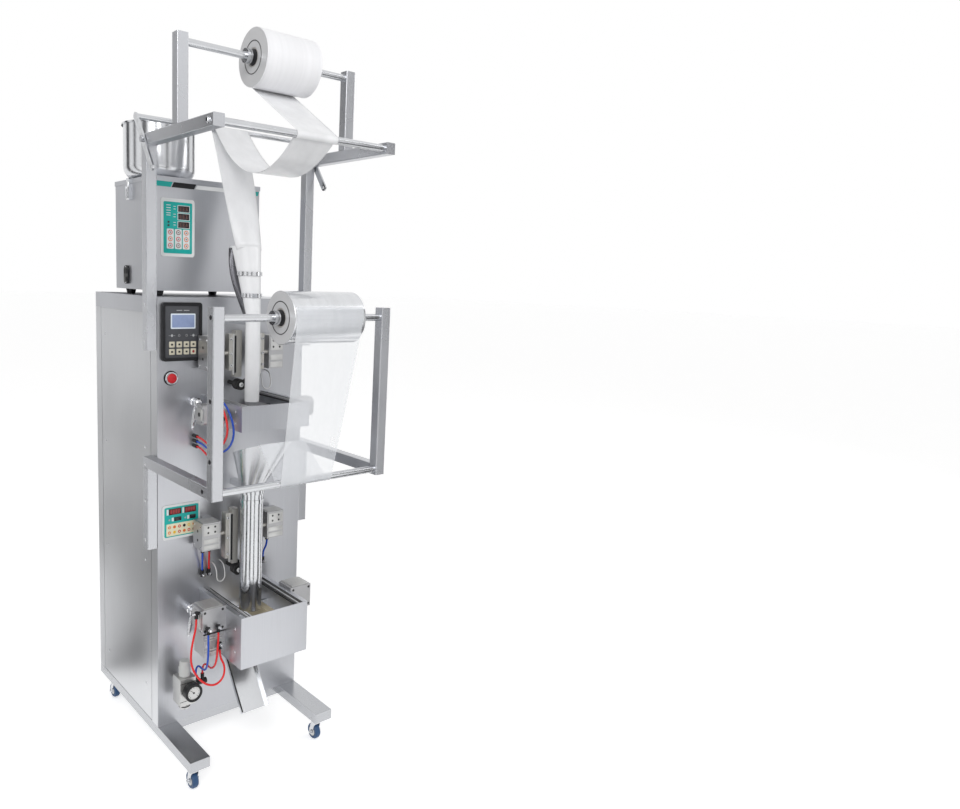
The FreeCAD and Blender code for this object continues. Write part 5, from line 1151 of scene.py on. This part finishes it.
def make_gauge():
    """Dial with ticks and a needle behind a black rim."""
    x, y, z = -147, -100.5, 204
    tick_radius, first_tick, tick_step = 12.6, 225, 27
    rims = [put(band(16, 21.9, 2.2), "front", x, y, z), put(band(20.5, 21.9, 16), "front", x, y + 16, z)]
    show("gauge_rim", rims, BLACK)
    show("gauge_dial", [put(disc(16.2, 0.4), "front", x, y, z)], GAUGE_FACE, slot="regulator_grey")
    marks = []
    for step in range(11):
        turn = math.radians(first_tick - tick_step * step)
        length = 4.16 if step % 5 == 0 else 2.56
        mark = slab(0.7, length, 0.15, 0.1, 0.03)
        marks.append(put(mark, "front", x + tick_radius * math.cos(turn), y - 0.4,
                         z + tick_radius * math.sin(turn), turn=math.degrees(turn) - 90))
    marks.append(put(slab(1.0, 15, 0.15, 0.3, 0.03), "front", x - 3.6, y - 0.6, z + 3.6, turn=45))
    marks.append(put(disc(2.4, 0.8), "front", x, y - 0.4, z))
    show("gauge_marks", marks, MARK_BLACK)


def make_regulator_trim():
    """Ribbed knob, the rings and the drain of the bowl, and the two seams of the body."""
    knob = Span("regulator_knob")
    grip = knob.width / 2
    tall = knob.height
    ribbed = lathe([(grip - 1.5, 0), (grip, 0.8), (grip, tall * 0.62), (grip - 1.8, tall * 0.7),
                    (grip - 1.8, tall - 2), (grip - 3, tall), (0.5, tall)], 96, 24)
    show("regulator_knob_ribbed", [put(ribbed, "up", knob.x, knob.y, knob.z0)], KNOB_PALE, "pressure_knob",
         "regulator_grey", replaces=("regulator_knob",))
    x, y = -152, -60.5
    rings = [put(band(13.2, 15.2, 3.0), "up", x, y, 161), put(band(13.2, 14.4, 1.6), "up", x, y, 156)]
    show("bowl_rings", rings, BLACK)
    drain = lathe([(3.4, 0), (3.4, 4), (2.4, 5), (2.4, 7), (1, 7)], 20)
    show("bowl_drain", [put(drain, "down", x, y, Span("air_regulator").z0)], BLACK)
    show("regulator_seams", [block(-172.4, -131.6, -80.9, -80.5, z, z + 1.2, 0.1) for z in (176, 222)],
         MARK_BLACK)


def make_handles():
    """Clamping levers: a chrome ball on the hub, and a lever whose radius is 4.2 + 2.2 sin(pi s^0.8)
    over its length and falls off at its tip."""
    for level, x, z in (("upper", -116, 897), ("lower", -124, 386)):
        turn = np.linspace(-math.pi / 2, math.pi / 2, 13)
        ball = lathe(np.column_stack([12.5 * np.cos(turn), 12.5 * np.sin(turn)]), 40)
        hub = lathe([(11, 0), (11, 3), (9, 4.5), (8, 8), (8, 18)], 32)
        line = through([(x - 3, -52, z - 4), (x - 7, -52, z - 20), (x - 12, -53.5, z - 42),
                        (x - 15, -54.5, z - 60)], 24)
        share = np.linspace(0, 1, 24)
        tip = np.minimum(1, 0.35 + 6 * (1 - share)) ** 0.5
        thick = (4.2 + 2.2 * np.sin(math.pi * share ** 0.8)) * tip
        lever = sweep(line, thick, 20, (0, 1, 0))
        patches = [put(ball, "front", x, -51.5, z), put(hub, "front", x, -34, z), lever]
        show(f"{level}_lever_chrome", patches, CHROME, f"{level}_lever", replaces=(f"{level}_handle",))


def make_funnel_wing():
    """Dark leaf on the left of the funnel: it starts at the cone's side and its width is
    4 + 13 sin(pi s^1.2) over the share s of the cone's height."""
    neck_radius, mouth_radius, neck_z, cone_height = 16.5, 36, 1098, 164
    s = np.linspace(0.03, 0.97, 30)[:, None]
    v = np.linspace(0, 1, 8)[None, :]
    side = neck_radius + (mouth_radius - neck_radius) * s
    x = -(side - 0.6 + (4 + 13 * np.sin(math.pi * s ** 1.2)) * v)
    y = -101.5 + 40 * s + 7 * v ** 2
    z = neck_z + cone_height * s + 0 * v
    leaf = show("funnel_wing", [grid_patch(np.stack([x, y, z], axis=-1))], STEEL_WING, sharp=180)
    thicken(leaf, SHEET_THICKNESS)


def make_chute_strip():
    """A bead carried along the top edge of the chute's left side wall, black as a painted dark
    reflection on the steel.
    """
    edge = through([(-37.5, -27, 294), (-37.5, -85, 217), (-37.5, -144, 138.5)], 16)
    # black here is a painted dark reflection on the steel edge
    show("chute_edge_painted_reflection", [sweep(edge, 1.9, 12, (1, 0, 0))], BLACK, slot="stainless")


def make_guard_box_trim():
    """Top rails with their screws, and wall screws, of both guard boxes."""
    rails, black, bright = [], [], []
    for box_node, low in (("upper_guard_box", 852), ("lower_guard_box", 300)):
        box = Span(box_node)
        for side, facing in ((-1, "left"), (1, "right")):
            wall = side * box.x1
            for near, far, down, pile in ((2, 12, 0.6, rails), (12.2, 19, 4, black),
                                          (19.2, 24, 1.2, rails), (24.2, 30, 4, black)):
                ends = sorted((wall - side * near, wall - side * far))
                pile.append(block(*ends, box.y0 + 4, box.y1 - 2, box.z1 - down - 3, box.z1 - down))
            places = [(wall, box.y0 + 28, low + share * box.height) for share in (0.27, 0.72)]
            bright += several(pan_screw(3.6), facing, places)
            places = [(wall - side * 7.2, y, box.z1 - 0.6)
                      for y in (box.y0 + 20, box.y0 + 80, box.y1 - 24)]
            bright += several(cap_screw(2.0, 1.4), "up", places)
    show("guard_box_rails", rails, ALUMINIUM)
    show("guard_box_seals", black, BLACK)
    show("guard_box_screws", bright, CHROME)


def make_fasteners():
    """Screws of the side panels, bolts of the frame posts, and the plugs in the ends of the rods."""
    screws = []
    for side, facing in ((-1, "left"), (1, "right")):
        x = side * Span("cabinet_housing", "front_plate", "top_cap").x1
        rear = [(x, 308, z) for z in (1033, 750, 460, 155)]
        front = [(x, 56, z) for z in (1033, 780, 498, 175)]
        screws += several(pan_screw(3.6), facing, rear + front)
    show("cabinet_screws", screws, CHROME)
    bolts, plugs = [], []
    posts = Span("frame_posts")
    uprights = Span("frame_uprights")
    for side, facing in ((-1, "left"), (1, "right")):
        x = side * posts.x1
        bolts += several(pan_screw(4.0), facing, [(x, -3, z) for z in (1122, 1041, 754, 666, 571)])
        bolts += several(hex_bolt(5.0), facing, [(x, -305, 1482.5)])
        plugs += several(pan_screw(5.0), facing, [(x, uprights.y0 + 12, z) for z in (1112, 947, 825)])
        plugs += several(pan_screw(5.0), facing, [(x, -287, 757)])
    show("frame_bolts", bolts, CHROME)
    show("frame_plugs", plugs, BLACK)


make_camera()
make_cords()
make_studio()
make_rolls()
make_upper_web()
make_filler_panel()
make_heat_panel()
make_controller()
make_stop_button()
make_banner()
make_latches()
make_fittings()
make_air_cylinder_trim()
make_sealer_trim()
make_pull_wheel_hubs()
make_caster_trim()
make_gauge()
make_regulator_trim()
make_guard_box_trim()
make_handles()
make_funnel_wing()
make_chute_strip()
make_fasteners()
